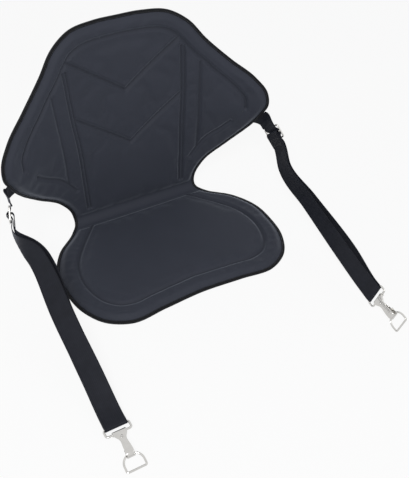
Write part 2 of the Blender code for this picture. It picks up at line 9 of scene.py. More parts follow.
import bmesh
import bpy
import numpy as np
from mathutils import Matrix, Vector


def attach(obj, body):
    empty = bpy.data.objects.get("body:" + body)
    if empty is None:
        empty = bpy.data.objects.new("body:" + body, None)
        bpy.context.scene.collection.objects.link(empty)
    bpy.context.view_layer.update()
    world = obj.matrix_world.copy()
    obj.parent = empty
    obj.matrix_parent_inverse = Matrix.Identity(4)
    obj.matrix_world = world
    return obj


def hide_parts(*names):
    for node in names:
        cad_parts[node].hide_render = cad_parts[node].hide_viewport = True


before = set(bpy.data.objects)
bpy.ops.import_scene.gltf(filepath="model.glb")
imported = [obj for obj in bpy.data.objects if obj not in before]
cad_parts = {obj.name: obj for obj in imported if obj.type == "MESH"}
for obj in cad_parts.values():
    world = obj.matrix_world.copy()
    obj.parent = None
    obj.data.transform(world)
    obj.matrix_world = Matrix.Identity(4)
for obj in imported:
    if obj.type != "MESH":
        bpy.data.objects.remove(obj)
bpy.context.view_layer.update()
LOG = logging.getLogger("kayak_seat")


class Hand(Enum):
    """The two sides of the seat, as a viewer in front of it sees them."""

    LEFT = -1.0
    RIGHT = 1.0


class Slot(Enum):
    """The record's material slots."""

    PAD = "pad_fabric"
    TAPE = "binding_tape"
    WEBBING = "webbing"
    THREAD = "thread"
    NICKEL = "nickel"


def smoothstep(t: np.ndarray | float) -> np.ndarray:
    """Smooth rise from 0 to 1 over 0..1."""
    t = np.clip(t, 0.0, 1.0)
    return t * t * (3 - 2 * t)


def hermite(a: Vector, b: Vector, ta: Vector, tb: Vector, t: float) -> Vector:
    """Cubic between two points with their end slopes.

    Args:
        a: Start point.
        b: End point.
        ta: Slope at the start.
        tb: Slope at the end.
        t: Place from 0 to 1.

    Returns:
        The point on the cubic.
    """
    return (a * (2 * t**3 - 3 * t**2 + 1) + ta * (t**3 - 2 * t**2 + t)
            + b * (3 * t**2 - 2 * t**3) + tb * (t**3 - t**2))


def catmull(points: Sequence[Sequence[float]], per: int, closed: bool) -> list[Vector]:
    """Smooth curve through points, with slopes weighted by their spacing.

    Args:
        points: Points to pass through.
        per: Steps between neighbours.
        closed: Whether the curve returns to its start.

    Returns:
        Points of the curve.
    """
    pts = [Vector(p) for p in points]
    n = len(pts)
    out = []
    for i in range(n if closed else n - 1):
        a, b = pts[i], pts[(i + 1) % n]
        before = pts[(i - 1) % n] if closed or i > 0 else a + (a - b)
        after = pts[(i + 2) % n] if closed or i < n - 2 else b + (b - a)
        d0, d1, d2 = (a - before).length, (b - a).length, (after - b).length
        ta = ((a - before) / d0 * d1 + (b - a) / d1 * d0) / (d0 + d1) * d1
        tb = ((b - a) / d1 * d2 + (after - b) / d2 * d1) / (d1 + d2) * d1
        out += [hermite(a, b, ta, tb, k / per) for k in range(per)]
    if not closed:
        out.append(pts[-1])
    return out


def resample(points: Sequence[Vector], step: float, closed: bool) -> list[Vector]:
    """Even steps along a curve.

    Args:
        points: The curve's points.
        step: Wanted length of a step.
        closed: Whether the curve returns to its start.

    Returns:
        Evenly spaced points.
    """
    pts = list(points) + ([points[0]] if closed else [])
    total = np.concatenate([[0.0], np.cumsum([(b - a).length for a, b in zip(pts, pts[1:])])])
    count = max(2, round(float(total[-1]) / step))
    wanted = np.linspace(0.0, total[-1], count + 1)[: count if closed else count + 1]
    table = np.array([list(p) for p in pts])
    columns = [np.interp(wanted, total, table[:, k]) for k in range(table.shape[1])]
    return [Vector(row) for row in np.column_stack(columns)]


def nearest(points: np.ndarray, line: np.ndarray, closed: bool,
            reach: float = 0.032) -> tuple[np.ndarray, np.ndarray]:
    """Nearest places on a polyline.

    Args:
        points: Flat points, one row each.
        line: The polyline's corners, one row each.
        closed: Whether it returns to its start.
        reach: How far from the line the answer matters; places further off get a huge distance.

    Returns:
        Distances, and the nearest points on the line.
    """
    best = np.full(len(points), 1e9)
    foot = np.zeros_like(points)
    starts = line if closed else line[:-1]
    ends = np.roll(line, -1, axis=0) if closed else line[1:]
    for first in range(0, len(starts), 12):
        piece = list(zip(starts[first:first + 12], ends[first:first + 12]))
        low, high = np.min(piece, axis=(0, 1)) - reach, np.max(piece, axis=(0, 1)) + reach
        near = np.flatnonzero(((points > low) & (points < high)).all(axis=1))
        some, gaps, feet = points[near], best[near], foot[near]
        for a, b in piece:
            d = b - a
            q = a + np.clip((some - a) @ d / max(float(d @ d), 1e-18), 0.0, 1.0)[:, None] * d
            gap = np.hypot(*(some - q).T)
            closer = gap < gaps
            gaps[closer], feet[closer] = gap[closer], q[closer]
        best[near], foot[near] = gaps, feet
    return best, foot


def within(points: np.ndarray, line: np.ndarray) -> np.ndarray:
    """Whether each flat point lies inside a closed polyline.

    Args:
        points: Flat points, one row each.
        line: The polyline's corners, one row each.

    Returns:
        True for each point that lies inside.
    """
    hit = np.zeros(len(points), bool)
    for a, b in zip(line, np.roll(line, -1, axis=0)):
        spans = (a[1] > points[:, 1]) != (b[1] > points[:, 1])
        cut = (b[0] - a[0]) * (points[:, 1] - a[1]) / (b[1] - a[1] + 1e-18) + a[0]
        hit ^= spans & (points[:, 0] < cut)
    return hit


class Place:
    """A place with travel (t), width (w) and outward (n) directions."""

    def __init__(self, origin: Sequence[float], t: Sequence[float], n: Sequence[float] | None = None,
                 w: Sequence[float] | None = None) -> None:
        """Squares the given directions.

        Args:
            origin: The place's point.
            t: Travel direction.
            n: Outward direction, where it is given.
            w: Width direction, where n isn't given.
        """
        self.o = Vector(origin)
        self.t = Vector(t).normalized()
        if n is not None:
            n = Vector(n)
            self.n = (n - self.t * n.dot(self.t)).normalized()
            self.w = self.n.cross(self.t).normalized()
        else:
            w = Vector(w)
            self.w = (w - self.t * w.dot(self.t)).normalized()
            self.n = self.t.cross(self.w).normalized()

    def at(self, u: float, n: float = 0.0, w: float = 0.0) -> Vector:
        """The point u along, n outward and w across."""
        return self.o + self.t * u + self.n * n + self.w * w


def matrix_of(origin: Vector, x: Vector, y: Vector) -> Matrix:
    """Matrix that puts local X and Y on two directions at a point."""
    z = x.cross(y)
    rows = [(x[k], y[k], z[k], origin[k]) for k in range(3)]
    return Matrix((*rows, (0, 0, 0, 1)))


# Materials


class Desk:
    """Lays out the nodes of one material."""

    def __init__(self, name: str) -> None:
        """Starts a material with only its shader and output."""
        self.material = bpy.data.materials.new(name)
        self.material.use_nodes = True
        self.tree = self.material.node_tree
        self.shader = self.tree.nodes["Principled BSDF"]

    def node(self, kind: str, inputs: dict[str | int, object] | None = None,
             **settings: object) -> bpy.types.Node:
        """Adds a node.

        Args:
            kind: The node's type.
            inputs: Values or sockets for its inputs.
            settings: Attributes of the node.

        Returns:
            The node.
        """
        made = self.tree.nodes.new(kind)
        for key, value in settings.items():
            setattr(made, key, value)
        for key, value in (inputs or {}).items():
            self.feed(made.inputs[key], value)
        return made

    def feed(self, socket: bpy.types.NodeSocket, value: object) -> None:
        """Links a socket to another, or sets its value."""
        if isinstance(value, bpy.types.NodeSocket):
            self.tree.links.new(value, socket)
        else:
            socket.default_value = value

    def sum(self, how: str, *values: object) -> bpy.types.NodeSocket:
        """A Math node's result."""
        return self.node("ShaderNodeMath", dict(enumerate(values)), operation=how).outputs[0]

    def mix(self, factor: object, a: Sequence[float] | object,
            b: Sequence[float] | object) -> bpy.types.NodeSocket:
        """A colour between two colours."""
        made = self.node("ShaderNodeMix", data_type="RGBA")
        for socket, value in zip((made.inputs[0], made.inputs[6], made.inputs[7]), (factor, a, b)):
            self.feed(socket, (*value, 1.0) if isinstance(value, tuple) else value)
        return made.outputs[2]

    def noise(self, where: object, scale: float, detail: float = 2.0) -> bpy.types.NodeSocket:
        """A noise value at a place."""
        inputs = {"Vector": where, "Scale": scale, "Detail": detail}
        return self.node("ShaderNodeTexNoise", inputs).outputs[0]

    def bump(self, height: object, distance: float, strength: float = 1.0,
             normal: object | None = None) -> bpy.types.NodeSocket:
        """A bumped normal.

        Args:
            height: Height from 0 to 1.
            distance: Height of 1, in metres.
            strength: How much of it shows.
            normal: Normal that it is laid over.

        Returns:
            The normal's socket.
        """
        inputs = {"Height": height, "Distance": distance, "Strength": strength}
        made = self.node("ShaderNodeBump", inputs)
        if normal is not None:
            self.feed(made.inputs["Normal"], normal)
        return made.outputs[0]

    def surface(self, **values: object) -> bpy.types.Material:
        """Sets the shader's own sockets, named with _ for a space, and returns the material."""
        for key, value in values.items():
            self.feed(self.shader.inputs[key.replace("_", " ")], value)
        return self.material


@dataclass(frozen=True)
class LaminatedFabric:
    """Fine navy-charcoal fabric laminated on the moulded foam."""

    light: tuple[float, float, float] = (0.0285, 0.0322, 0.0465)
    dark: tuple[float, float, float] = (0.0190, 0.0220, 0.0330)
    # Colour of the painted shade along the grooves, where the creases would shade the fabric.
    groove_shade: tuple[float, float, float] = (0.0100, 0.0118, 0.0182)
    weave: float = 0.00085
    rough: float = 0.74

    def material(self) -> bpy.types.Material:
        """Weave, soft blotches and painted shade along the grooves."""
        desk = Desk("laminated_fabric")
        uv = desk.node("ShaderNodeUVMap", uv_map="flat").outputs[0]
        axes = desk.node("ShaderNodeSeparateXYZ", {0: uv}).outputs
        blotch = desk.noise(uv, 16.0, 4.0)
        grain = desk.noise(uv, 900.0, 3.0)
        tone = desk.mix(blotch, self.dark, self.light)
        fleck = desk.sum("MULTIPLY_ADD", grain, 0.5, 0.75)
        tone = desk.node("ShaderNodeVectorMath", {0: tone, 1: fleck}, operation="MULTIPLY").outputs[0]
        # The sunk attribute mixes painted shade into the fabric along the grooves.
        sunk = desk.node("ShaderNodeAttribute", attribute_name="sunk").outputs["Fac"]
        tone = desk.mix(sunk, tone, self.groove_shade)
        turns = 2 * math.pi / self.weave
        warp = desk.sum("SINE", desk.sum("MULTIPLY", axes[0], turns))
        weft = desk.sum("SINE", desk.sum("MULTIPLY", axes[1], turns))
        threads = desk.sum("MULTIPLY_ADD", desk.sum("MULTIPLY", warp, weft), 0.5, 0.5)
        normal = desk.bump(threads, 0.00005, 0.6)
        normal = desk.bump(desk.noise(uv, 260.0, 3.0), 0.00025, 0.5, normal)
        rough = desk.sum("MULTIPLY_ADD", blotch, 0.14, self.rough - 0.07)
        return desk.surface(Base_Color=tone, Roughness=rough, Normal=normal, Specular_IOR_Level=0.35,
                            Sheen_Weight=0.30, Sheen_Roughness=0.45, Sheen_Tint=(0.62, 0.68, 0.80, 1.0))


@dataclass(frozen=True)
class RibbedWeave:
    """Black woven tape or webbing, with ribs across it and a selvedge line near each edge."""

    name: str
    base: tuple[float, float, float]
    high: tuple[float, float, float]
    rib: float
    column: float
    width: float
    selvedge: float
    relief: float = 0.00016
    rough: float = 0.62

    def material(self) -> bpy.types.Material:
        """Slanted ribs that change hand from column to column."""
        desk = Desk(self.name)
        uv = desk.node("ShaderNodeUVMap", uv_map="weave").outputs[0]
        axes = desk.node("ShaderNodeSeparateXYZ", {0: uv}).outputs
        zigzag = desk.sum("PINGPONG", axes[1], self.column)
        slant = desk.sum("ADD", axes[0], desk.sum("MULTIPLY", zigzag, 0.8))
        ribs = desk.sum("SINE", desk.sum("MULTIPLY", slant, 2 * math.pi / self.rib))
        furrow = desk.sum("SINE", desk.sum("MULTIPLY", axes[1], math.pi / self.column))
        furrow = desk.sum("POWER", desk.sum("ABSOLUTE", furrow), 0.35)
        height = desk.sum("MULTIPLY", desk.sum("MULTIPLY_ADD", ribs, 0.35, 0.65), furrow)
        edge = desk.sum("PINGPONG", axes[1], self.width / 2)
        line = desk.sum("COMPARE", edge, self.selvedge, 0.00045)
        height = desk.sum("SUBTRACT", height, desk.sum("MULTIPLY", line, 0.8))
        # Colour follows the relief: painted highlight on the rib crests and painted shade in the furrows and
        # selvedge lines, in random patches.
        patchy_crest_light = desk.noise(uv, 60.0, 3.0)
        tone = desk.mix(desk.sum("MULTIPLY", height, patchy_crest_light), self.base, self.high)
        normal = desk.bump(height, self.relief, 0.8)
        return desk.surface(Base_Color=tone, Roughness=self.rough, Normal=normal, Specular_IOR_Level=0.16,
                            Sheen_Weight=0.08, Sheen_Roughness=0.4, Sheen_Tint=(0.62, 0.70, 0.90, 1.0))


@dataclass(frozen=True)
class SewingThread:
    """Twisted polyester thread."""

    colour: tuple[float, float, float] = (0.030, 0.032, 0.040)

    def material(self) -> bpy.types.Material:
        """Fine twist on each stitch."""
        desk = Desk("sewing_thread")
        where = desk.node("ShaderNodeTexCoord").outputs["Object"]
        twist = desk.noise(where, 2600.0, 2.0)
        tone = desk.mix(twist, tuple(0.6 * c for c in self.colour), self.colour)
        normal = desk.bump(twist, 0.00008)
        return desk.surface(Base_Color=tone, Roughness=0.5, Normal=normal, Sheen_Weight=0.2)


@dataclass(frozen=True)
class BrightNickel:
    """Polished nickel plate with faint handling marks."""

    colour: tuple[float, float, float] = (0.64, 0.63, 0.61)
    rough: float = 0.13

    def material(self) -> bpy.types.Material:
        """Uneven polish and fine scuffs."""
        desk = Desk("bright_nickel")
        where = desk.node("ShaderNodeTexCoord").outputs["Object"]
        haze = desk.noise(where, 140.0, 4.0)
        drawn = desk.node("ShaderNodeMapping", {0: where, 3: (900.0, 120.0, 900.0)}).outputs[0]
        scuff = desk.noise(drawn, 1.0, 3.0)
        tone = desk.mix(haze, tuple(0.86 * c for c in self.colour), self.colour)
        rough = desk.sum("MULTIPLY_ADD", haze, 0.12, self.rough - 0.04)
        normal = desk.bump(scuff, 0.00002, 0.4)
        return desk.surface(Base_Color=tone, Metallic=1.0, Roughness=rough, Normal=normal)


class Finishes:
    """Every finish of the seat, made once."""

    def __init__(self) -> None:
        """Makes the materials."""
        self.pad = LaminatedFabric().material()
        self.tape = RibbedWeave("woven_tape", (0.0030, 0.0032, 0.0040), (0.0085, 0.0090, 0.0110),
                                0.0011, 0.0040, 0.036, 0.0300, 0.00010).material()
        self.webbing = RibbedWeave("woven_webbing", (0.0072, 0.0080, 0.0115), (0.0240, 0.0260, 0.0365),
                                   0.0019, 0.0030, 0.0394, 0.0024).material()
        self.thread = SewingThread().material()
        self.nickel = BrightNickel().material()


# Meshes


def finished(name: str, bm: bmesh.types.BMesh, material: bpy.types.Material, slot: Slot, body: str,
             *nodes: str) -> bpy.types.Object:
    """Makes a smooth-shaded piece of a bmesh and gives it to its body.

    Args:
        name: The piece's name.
        bm: Its shape, freed here.
        material: Its material.
        slot: The record's material slot that the piece stands for; not used.
        body: The body that it rides on.
        nodes: CAD nodes that it stands for.

    Returns:
        The piece.
    """
    bmesh.ops.recalc_face_normals(bm, faces=bm.faces)
    for face in bm.faces:
        face.smooth = True
    mesh = bpy.data.meshes.new(name)
    bm.to_mesh(mesh)
    bm.free()
    mesh.materials.append(material)
    piece = bpy.data.objects.new(name, mesh)
    bpy.context.scene.collection.objects.link(piece)
    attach(piece, body)
    if nodes:
        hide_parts(*nodes)
    LOG.info("%s: %d faces, on %s", name, len(mesh.polygons), body)
    return piece


Section = list[tuple[float, float]]


def sweep(bm: bmesh.types.BMesh, places: Sequence[Matrix], sections: Sequence[Section],
          closed: bool) -> None:
    """Extrudes a closed cross-section from place to place, with a map of its length and girth in metres.

    Args:
        bm: Where the sweep is added.
        places: Where local X and Y of each section lie.
        sections: One cross-section for all places, or one for each.
        closed: Whether the last place joins the first.
    """
    uv = bm.loops.layers.uv.get("weave") or bm.loops.layers.uv.new("weave")
    stops = list(places) + ([places[0]] if closed else [])
    shapes = [sections[i % len(sections)] for i in range(len(places))]
    shapes += [shapes[0]] if closed else []
    count = len(shapes[0])
    corners = [Vector((*p, 0.0)) for p in shapes[0]]
    sides = [(b - a).length for a, b in zip(corners, corners[1:] + corners[:1])]
    girth = np.concatenate([[0.0], np.cumsum(sides)])
    ring = [bm.verts.new(stops[0] @ c) for c in corners]
    edges = [bm.edges.new((a, b)) for a, b in zip(ring, ring[1:] + ring[:1])]
    order = {v: i for i, v in enumerate(ring)}
    first, travelled = list(ring), 0.0
    for before, stop, shape in zip(stops, stops[1:], shapes[1:]):
        made = bmesh.ops.extrude_edge_only(bm, edges=edges)["geom"]
        fresh = {}
        for v in (g for g in made if isinstance(g, bmesh.types.BMVert)):
            old = next(e.other_vert(v) for e in v.link_edges if e.other_vert(v) in order)
            fresh[v] = order[old]
            v.co = stop @ Vector((*shape[order[old]], 0.0))
        step = (stop.translation - before.translation).length
        for face in (g for g in made if isinstance(g, bmesh.types.BMFace)):
            indices = {order.get(v, fresh.get(v)) for v in face.verts}
            wraps = indices == {0, count - 1}
            for loop in face.loops:
                i = order.get(loop.vert, fresh.get(loop.vert))
                along = travelled + (step if loop.vert in fresh else 0.0)
                loop[uv].uv = (along, girth[count if wraps and i == 0 else i])
        edges = [g for g in made
                 if isinstance(g, bmesh.types.BMEdge) and all(v in fresh for v in g.verts)]
        travelled += step
        order = fresh
    if closed:
        bmesh.ops.remove_doubles(bm, verts=first + list(order), dist=1e-6)
    else:
        rims = [e for e in {e for v in first + list(order) for e in v.link_edges} if e.is_boundary]
        bmesh.ops.holes_fill(bm, edges=rims, sides=0)


def circle(radius: float, sides: int = 18) -> Section:
    """Corners of a round section."""
    turns = [2 * math.pi * k / sides for k in range(sides)]
    return [(radius * math.cos(a), radius * math.sin(a)) for a in turns]


def wire_places(points: Sequence[Vector], up: Vector, closed: bool) -> list[Matrix]:
    """Places along a plane curve, for a section that stays square to it.

    Args:
        points: The curve's points.
        up: Normal of its plane.
        closed: Whether it returns to its start.

    Returns:
        A place for each point.
    """
    last = len(points) - 1
    out = []
    for i, p in enumerate(points):
        a = points[i - 1] if closed or i else p
        b = points[(i + 1) % (last + 1)] if closed or i < last else p
        out.append(matrix_of(p, up.cross((b - a).normalized()).normalized(), up))
    return out


def rounded_box(half_u: float, half_w: float, r: float, steps: int = 8) -> list[tuple[float, float]]:
    """Points of a rounded rectangle in (u, w).

    Args:
        half_u: Half its length.
        half_w: Half its width.
        r: Corner radius.
        steps: Steps in a corner.

    Returns:
        The points, in order.
    """
    out = []
    for su, sw, start in ((1, 1, 0), (-1, 1, 90), (-1, -1, 180), (1, -1, 270)):
        for k in range(steps + 1):
            a = math.radians(start + 90 * k / steps)
            out.append((su * (half_u - r) + r * math.cos(a), sw * (half_w - r) + r * math.sin(a)))
    return out


class Seam:
    """Rows of stitches, each a small spindle of thread."""

    def __init__(self, width: float, height: float) -> None:
        """Makes the one stitch that the rows repeat.

        Args:
            width: Width of the thread.
            height: How high it stands on the cloth.
        """
        self.width, self.height = width, height
        bm = bmesh.new()
        lying = Matrix.Rotation(math.pi / 2, 4, "Y")
        bmesh.ops.create_uvsphere(bm, u_segments=6, v_segments=4, radius=1.0, matrix=lying)
        self.unit = bpy.data.meshes.new("stitch")
        bm.to_mesh(self.unit)
        bm.free()
        self.bm = bmesh.new()

    def add(self, a: Vector, b: Vector, up: Vector) -> None:
        """Adds one stitch.

        Args:
            a: Its start.
            b: Its end.
            up: Outward direction of the cloth.
        """
        along = (b - a) / 2
        side = up.cross(along).normalized() * (self.width / 2)
        lift = up.normalized() * self.height
        middle = (a + b) / 2
        one = self.unit.copy()
        one.transform(Matrix((
            (along.x, side.x, lift.x, middle.x), (along.y, side.y, lift.y, middle.y),
            (along.z, side.z, lift.z, middle.z), (0, 0, 0, 1))))
        self.bm.from_mesh(one)
        bpy.data.meshes.remove(one)

    def row(self, a: Vector, b: Vector, place: Callable[[Vector], Vector], up: Vector,
            pitch: float) -> None:
        """Adds a straight row.

        Args:
            a: Its start, in a flat pattern.
            b: Its end.
            place: Puts a point of the pattern on the cloth.
            up: Outward direction of the cloth.
            pitch: Length of a stitch.
        """
        count = max(2, round((b - a).length / pitch))
        for i in range(count):
            self.add(place(a.lerp(b, (i + 0.08) / count)), place(a.lerp(b, (i + 0.92) / count)), up)


# The pad


@dataclass(frozen=True)
class FoldedPattern:
    """The pad's flat pattern, and how it is folded into a seat and curved into a back."""

    outline: tuple[tuple[float, float], ...] = (
        (0.0000, 0.4205), (0.0490, 0.4205), (0.0995, 0.4142), (0.1392, 0.3905), (0.1735, 0.3502),
        (0.2238, 0.3025), (0.2730, 0.2620), (0.2972, 0.2295), (0.3000, 0.2030), (0.2855, 0.1765),
        (0.2607, 0.1434), (0.2158, 0.1001), (0.1660, 0.0613), (0.1456, 0.0280), (0.1435, 0.0020),
        (0.1573, -0.0211), (0.2030, -0.0682), (0.2294, -0.1255), (0.2320, -0.1800), (0.2213, -0.2415),
        (0.1935, -0.2875), (0.1522, -0.3110), (0.0820, -0.3070), (0.0000, -0.3017),
    )
    back_angle: float = math.radians(87.0)
    fold_r: float = 0.027
    fold_y: float = 0.283
    back_r: float = 0.4808
    curve_from: float = 0.206
    lift: float = 0.0011

    def edge(self, step: float) -> list[Vector]:
        """The whole closed outline in even steps."""
        half = [Vector(p) for p in self.outline]
        whole = half + [Vector((-p.x, p.y)) for p in reversed(half[1:-1])]
        return resample(catmull(whole, 12, True), step, True)

    def under(self, x: np.ndarray, v: np.ndarray) -> np.ndarray:
        """Under surface of the pad at flat places.

        Args:
            x: Places across the pattern.
            v: Places along it, forward below 0 and up the back above it.

        Returns:
            One point a row.
        """
        k = smoothstep(v / self.curve_from) / self.back_r + 1e-6
        side, wrap = np.sin(k * x) / k, (1 - np.cos(k * x)) / k
        arc = self.fold_r * self.back_angle
        t = np.clip((v + arc / 2) / arc, 0.0, 1.0) * self.back_angle
        y = self.fold_y - self.fold_r * math.tan(self.back_angle / 2) + self.fold_r * np.sin(t)
        z = self.fold_r * (1 - np.cos(t))
        rest, front = np.maximum(v - arc / 2, 0.0), np.minimum(v + arc / 2, 0.0)
        y = y + front + rest * math.cos(self.back_angle) - wrap * math.sin(self.back_angle)
        z = z + rest * math.sin(self.back_angle) + wrap * math.cos(self.back_angle)
        return np.column_stack([side, y, z + self.lift])

    def normal(self, x: np.ndarray, v: np.ndarray) -> np.ndarray:
        """Outward normals of the face, one a row."""
        e = 1e-4
        dx = self.under(x + e, v) - self.under(x - e, v)
        dv = self.under(x, v + e) - self.under(x, v - e)
        n = np.cross(dx, dv)
        return n / np.linalg.norm(n, axis=1)[:, None]

    def at(self, x: np.ndarray, v: np.ndarray, h: np.ndarray | float) -> np.ndarray:
        """Points h above the under surface, one a row."""
        return self.under(x, v) + self.normal(x, v) * (np.zeros_like(x) + h)[:, None]

    def spot(self, x: float, v: float, h: float) -> Vector:
        """One point h above the under surface."""
        return Vector(self.at(np.array([x]), np.array([v]), h)[0])

    def directions(self, x: float, v: float) -> tuple[Vector, Vector]:
        """Directions across and along the pattern at one place."""
        e = 1e-4
        p = self.under(np.array([x + e, x - e, x, x]), np.array([v, v, v + e, v - e]))
        return Vector(p[0] - p[1]).normalized(), Vector(p[2] - p[3]).normalized()


@dataclass(frozen=True)
class Groove:
    """One groove line: its corners in the flat pattern, depth and half width."""

    points: tuple[tuple[float, float], ...]
    curved: bool
    depth: float = 0.0045
    half: float = 0.0058
    mirrored: bool = True

    def lines(self) -> list[np.ndarray]:
        """Its polylines, on both halves where it is mirrored."""
        out = []
        for sign in (1.0, -1.0) if self.mirrored else (1.0,):
            points = [Vector((sign * x, v)) for x, v in self.points]
            path = catmull(points, 10, False) if self.curved else points
            out.append(np.array([list(p) for p in resample(path, 0.006, False)]))
        return out


@dataclass(frozen=True)
class PanelCloth:
    """How the laminated fabric behaves while the panels swell."""

    quality: int = 6
    mass: float = 0.3
    stretch: float = 30.0
    shear: float = 12.0
    bend: float = 6.0
    shrink: float = -0.012
    pressure: float = 4.0
    frames: int = 20

    def apply(self, cloth: bpy.types.ClothModifier, group: str) -> None:
        """Sets a cloth modifier.

        Args:
            cloth: The modifier.
            group: Name of the vertex group that is held.
        """
        settings = cloth.settings
        settings.quality, settings.mass = self.quality, self.mass
        settings.tension_stiffness = settings.compression_stiffness = self.stretch
        settings.shear_stiffness, settings.bending_stiffness = self.shear, self.bend
        settings.shrink_min = self.shrink
        settings.vertex_group_mass, settings.pin_stiffness = group, 1.0
        settings.use_pressure, settings.uniform_pressure_force = True, self.pressure
        settings.effector_weights.gravity = 0.0
        cloth.point_cache.frame_start, cloth.point_cache.frame_end = 1, self.frames


@dataclass
class MouldedPad:
    """The one-piece foam pad with its moulded grooves and puffed panels."""

    pattern: FoldedPattern
    fabric: PanelCloth = PanelCloth()
    border_t: float = 0.0026
    panel_t: float = 0.010
    fold_t: float = 0.0042
    fold_half: float = 0.012
    fold_rise: float = 0.018
    shoulder: float = 0.013
    tape: float = 0.0071
    cell: float = 0.005
    swell: float = 0.0022
    pair: float = 0.007
    sheet_half: float = 0.305
    sheet_low: float = -0.325
    sheet_high: float = 0.425
    clear: float = 0.0024
    rim_in: float = 0.0020
    groove_ease: float = 1.30
    groove_shade_half: float = 0.0036
    # Painted shade along the grooves: its half width, its greatest share and its strength in the colour.
    groove_shade_share: float = 0.7
    groove_shade_tone: float = 0.75
    fine_half: float = 0.0085
    snap: float = 0.00065

    def grooves(self) -> list[Groove]:
        """Every groove line of the face."""
        back_rim = ((0.000, 0.3875), (0.031, 0.387), (0.062, 0.386), (0.087, 0.382), (0.105, 0.374),
                    (0.118, 0.3625), (0.131, 0.347), (0.150, 0.325), (0.169, 0.307), (0.191, 0.284),
                    (0.2165, 0.261), (0.2375, 0.239), (0.2500, 0.2205), (0.2515, 0.2000))
        seat_rim = ((0.112, -0.022), (0.136, -0.052), (0.160, -0.084), (0.178, -0.113), (0.189, -0.146),
                    (0.192, -0.180), (0.187, -0.214), (0.174, -0.244), (0.153, -0.264), (0.130, -0.2705),
                    (0.090, -0.267), (0.048, -0.2635), (0.000, -0.260))
        lower = ((0.220, 0.1695), (0.198, 0.153), (0.165, 0.132), (0.147, 0.112), (0.131, 0.090))
        inner = ((0.121, 0.343), (0.117, 0.244), (0.111, 0.175), (0.107, 0.100), (0.104, 0.034))
        outer = ((0.159, 0.306), (0.1535, 0.212), (0.1465, 0.114))
        twin = tuple((x + self.pair, v) for x, v in inner)
        return [
            Groove(back_rim, True), Groove(seat_rim, True),
            Groove(lower, True, 0.0036), Groove(outer, True, 0.0034),
            Groove(inner, True, 0.0040, 0.0040), Groove(twin, True, 0.0036, 0.0040),
            Groove(((0.117, 0.361), (0.0, 0.275)), False), Groove(((0.117, 0.247), (0.0, 0.160)), False),
            Groove(((-0.136, -0.022), (0.136, -0.022)), False, 0.0030, mirrored=False),
        ]

    def sheet(self, step: float) -> tuple[bmesh.types.BMesh, np.ndarray]:
        """A flat grid cut to the outline.

        Args:
            step: The grid's cell.

        Returns:
            The grid, and the outline that it is cut to.
        """
        rim = np.array([list(p) for p in self.pattern.edge(0.004)])
        half, low, high = self.sheet_half, self.sheet_low, self.sheet_high
        nx, ny = round(2 * half / step), round((high - low) / step)
        bm = bmesh.new()
        bmesh.ops.create_grid(bm, x_segments=nx, y_segments=ny, size=0.5)
        bmesh.ops.scale(bm, vec=(2 * half, high - low, 1.0), verts=bm.verts)
        bmesh.ops.translate(bm, vec=(0.0, (high + low) / 2, 0.0), verts=bm.verts)
        flat = np.array([v.co[:2] for v in bm.verts])
        gap, _ = nearest(flat, rim, True)
        good = within(flat, rim) & (gap > self.clear)
        bm.verts.ensure_lookup_table()
        drop = [v for v, keep in zip(bm.verts, good) if not keep]
        bmesh.ops.delete(bm, geom=drop, context="VERTS")
        border = [v for v in bm.verts if v.is_boundary]
        flat = np.array([v.co[:2] for v in border])
        gap, foot = nearest(flat, rim, True)
        moved = foot + (flat - foot) / gap[:, None] * self.rim_in
        for v, p in zip(border, moved):
            v.co = (p[0], p[1], 0.0)
        return bm, rim

    def height(self, x: np.ndarray, v: np.ndarray, rim: np.ndarray) -> tuple[np.ndarray, np.ndarray]:
        """Foam thickness at flat places.

        Args:
            x: Places across the pattern.
            v: Places along it.
            rim: The outline.

        Returns:
            The thickness, and how much painted shade each place takes beside a groove, from 0 to 1.
        """
        flat = np.column_stack([x, v])
        gap, _ = nearest(flat, rim, True)
        rise = np.sin(np.pi / 2 * np.clip((gap - self.tape) / self.shoulder, 0.0, 1.0))
        full = self.border_t + (self.panel_t - self.border_t) * rise
        # A second mask paints shade along each groove line for the fabric's colour.
        sunk = np.zeros(len(x))
        groove_shade = np.zeros(len(x))
        for groove in self.grooves():
            for line in groove.lines():
                d, _ = nearest(flat, line, False)
                share = 0.5 + 0.5 * np.cos(np.pi * np.clip(d / (groove.half * self.groove_ease), 0.0, 1.0))
                sunk = np.maximum(sunk, groove.depth * share)
                groove_shade = np.maximum(groove_shade, self.groove_shade_share * smoothstep(1 - d / self.groove_shade_half))
        full = full - sunk * smoothstep((gap - 0.006) / self.shoulder)
        opened = smoothstep((np.abs(v) - self.fold_half) / self.fold_rise)
        return self.fold_t + (full - self.fold_t) * opened, groove_shade

    def freedom(self, x: np.ndarray, v: np.ndarray, rim: np.ndarray) -> np.ndarray:
        """How free the fabric is to swell, from 0 at the tape, the fold and the groove lines to 1."""
        flat = np.column_stack([x, v])
        gap, _ = nearest(flat, rim, True)
        free = smoothstep((gap - self.tape - 0.001) / 0.006)
        free = free * smoothstep((np.abs(v) - self.fold_half) / 0.012)
        for groove in self.grooves():
            for line in groove.lines():
                d, _ = nearest(flat, line, False)
                free = np.minimum(free, smoothstep((d - 0.0035) / 0.0035))
        return free

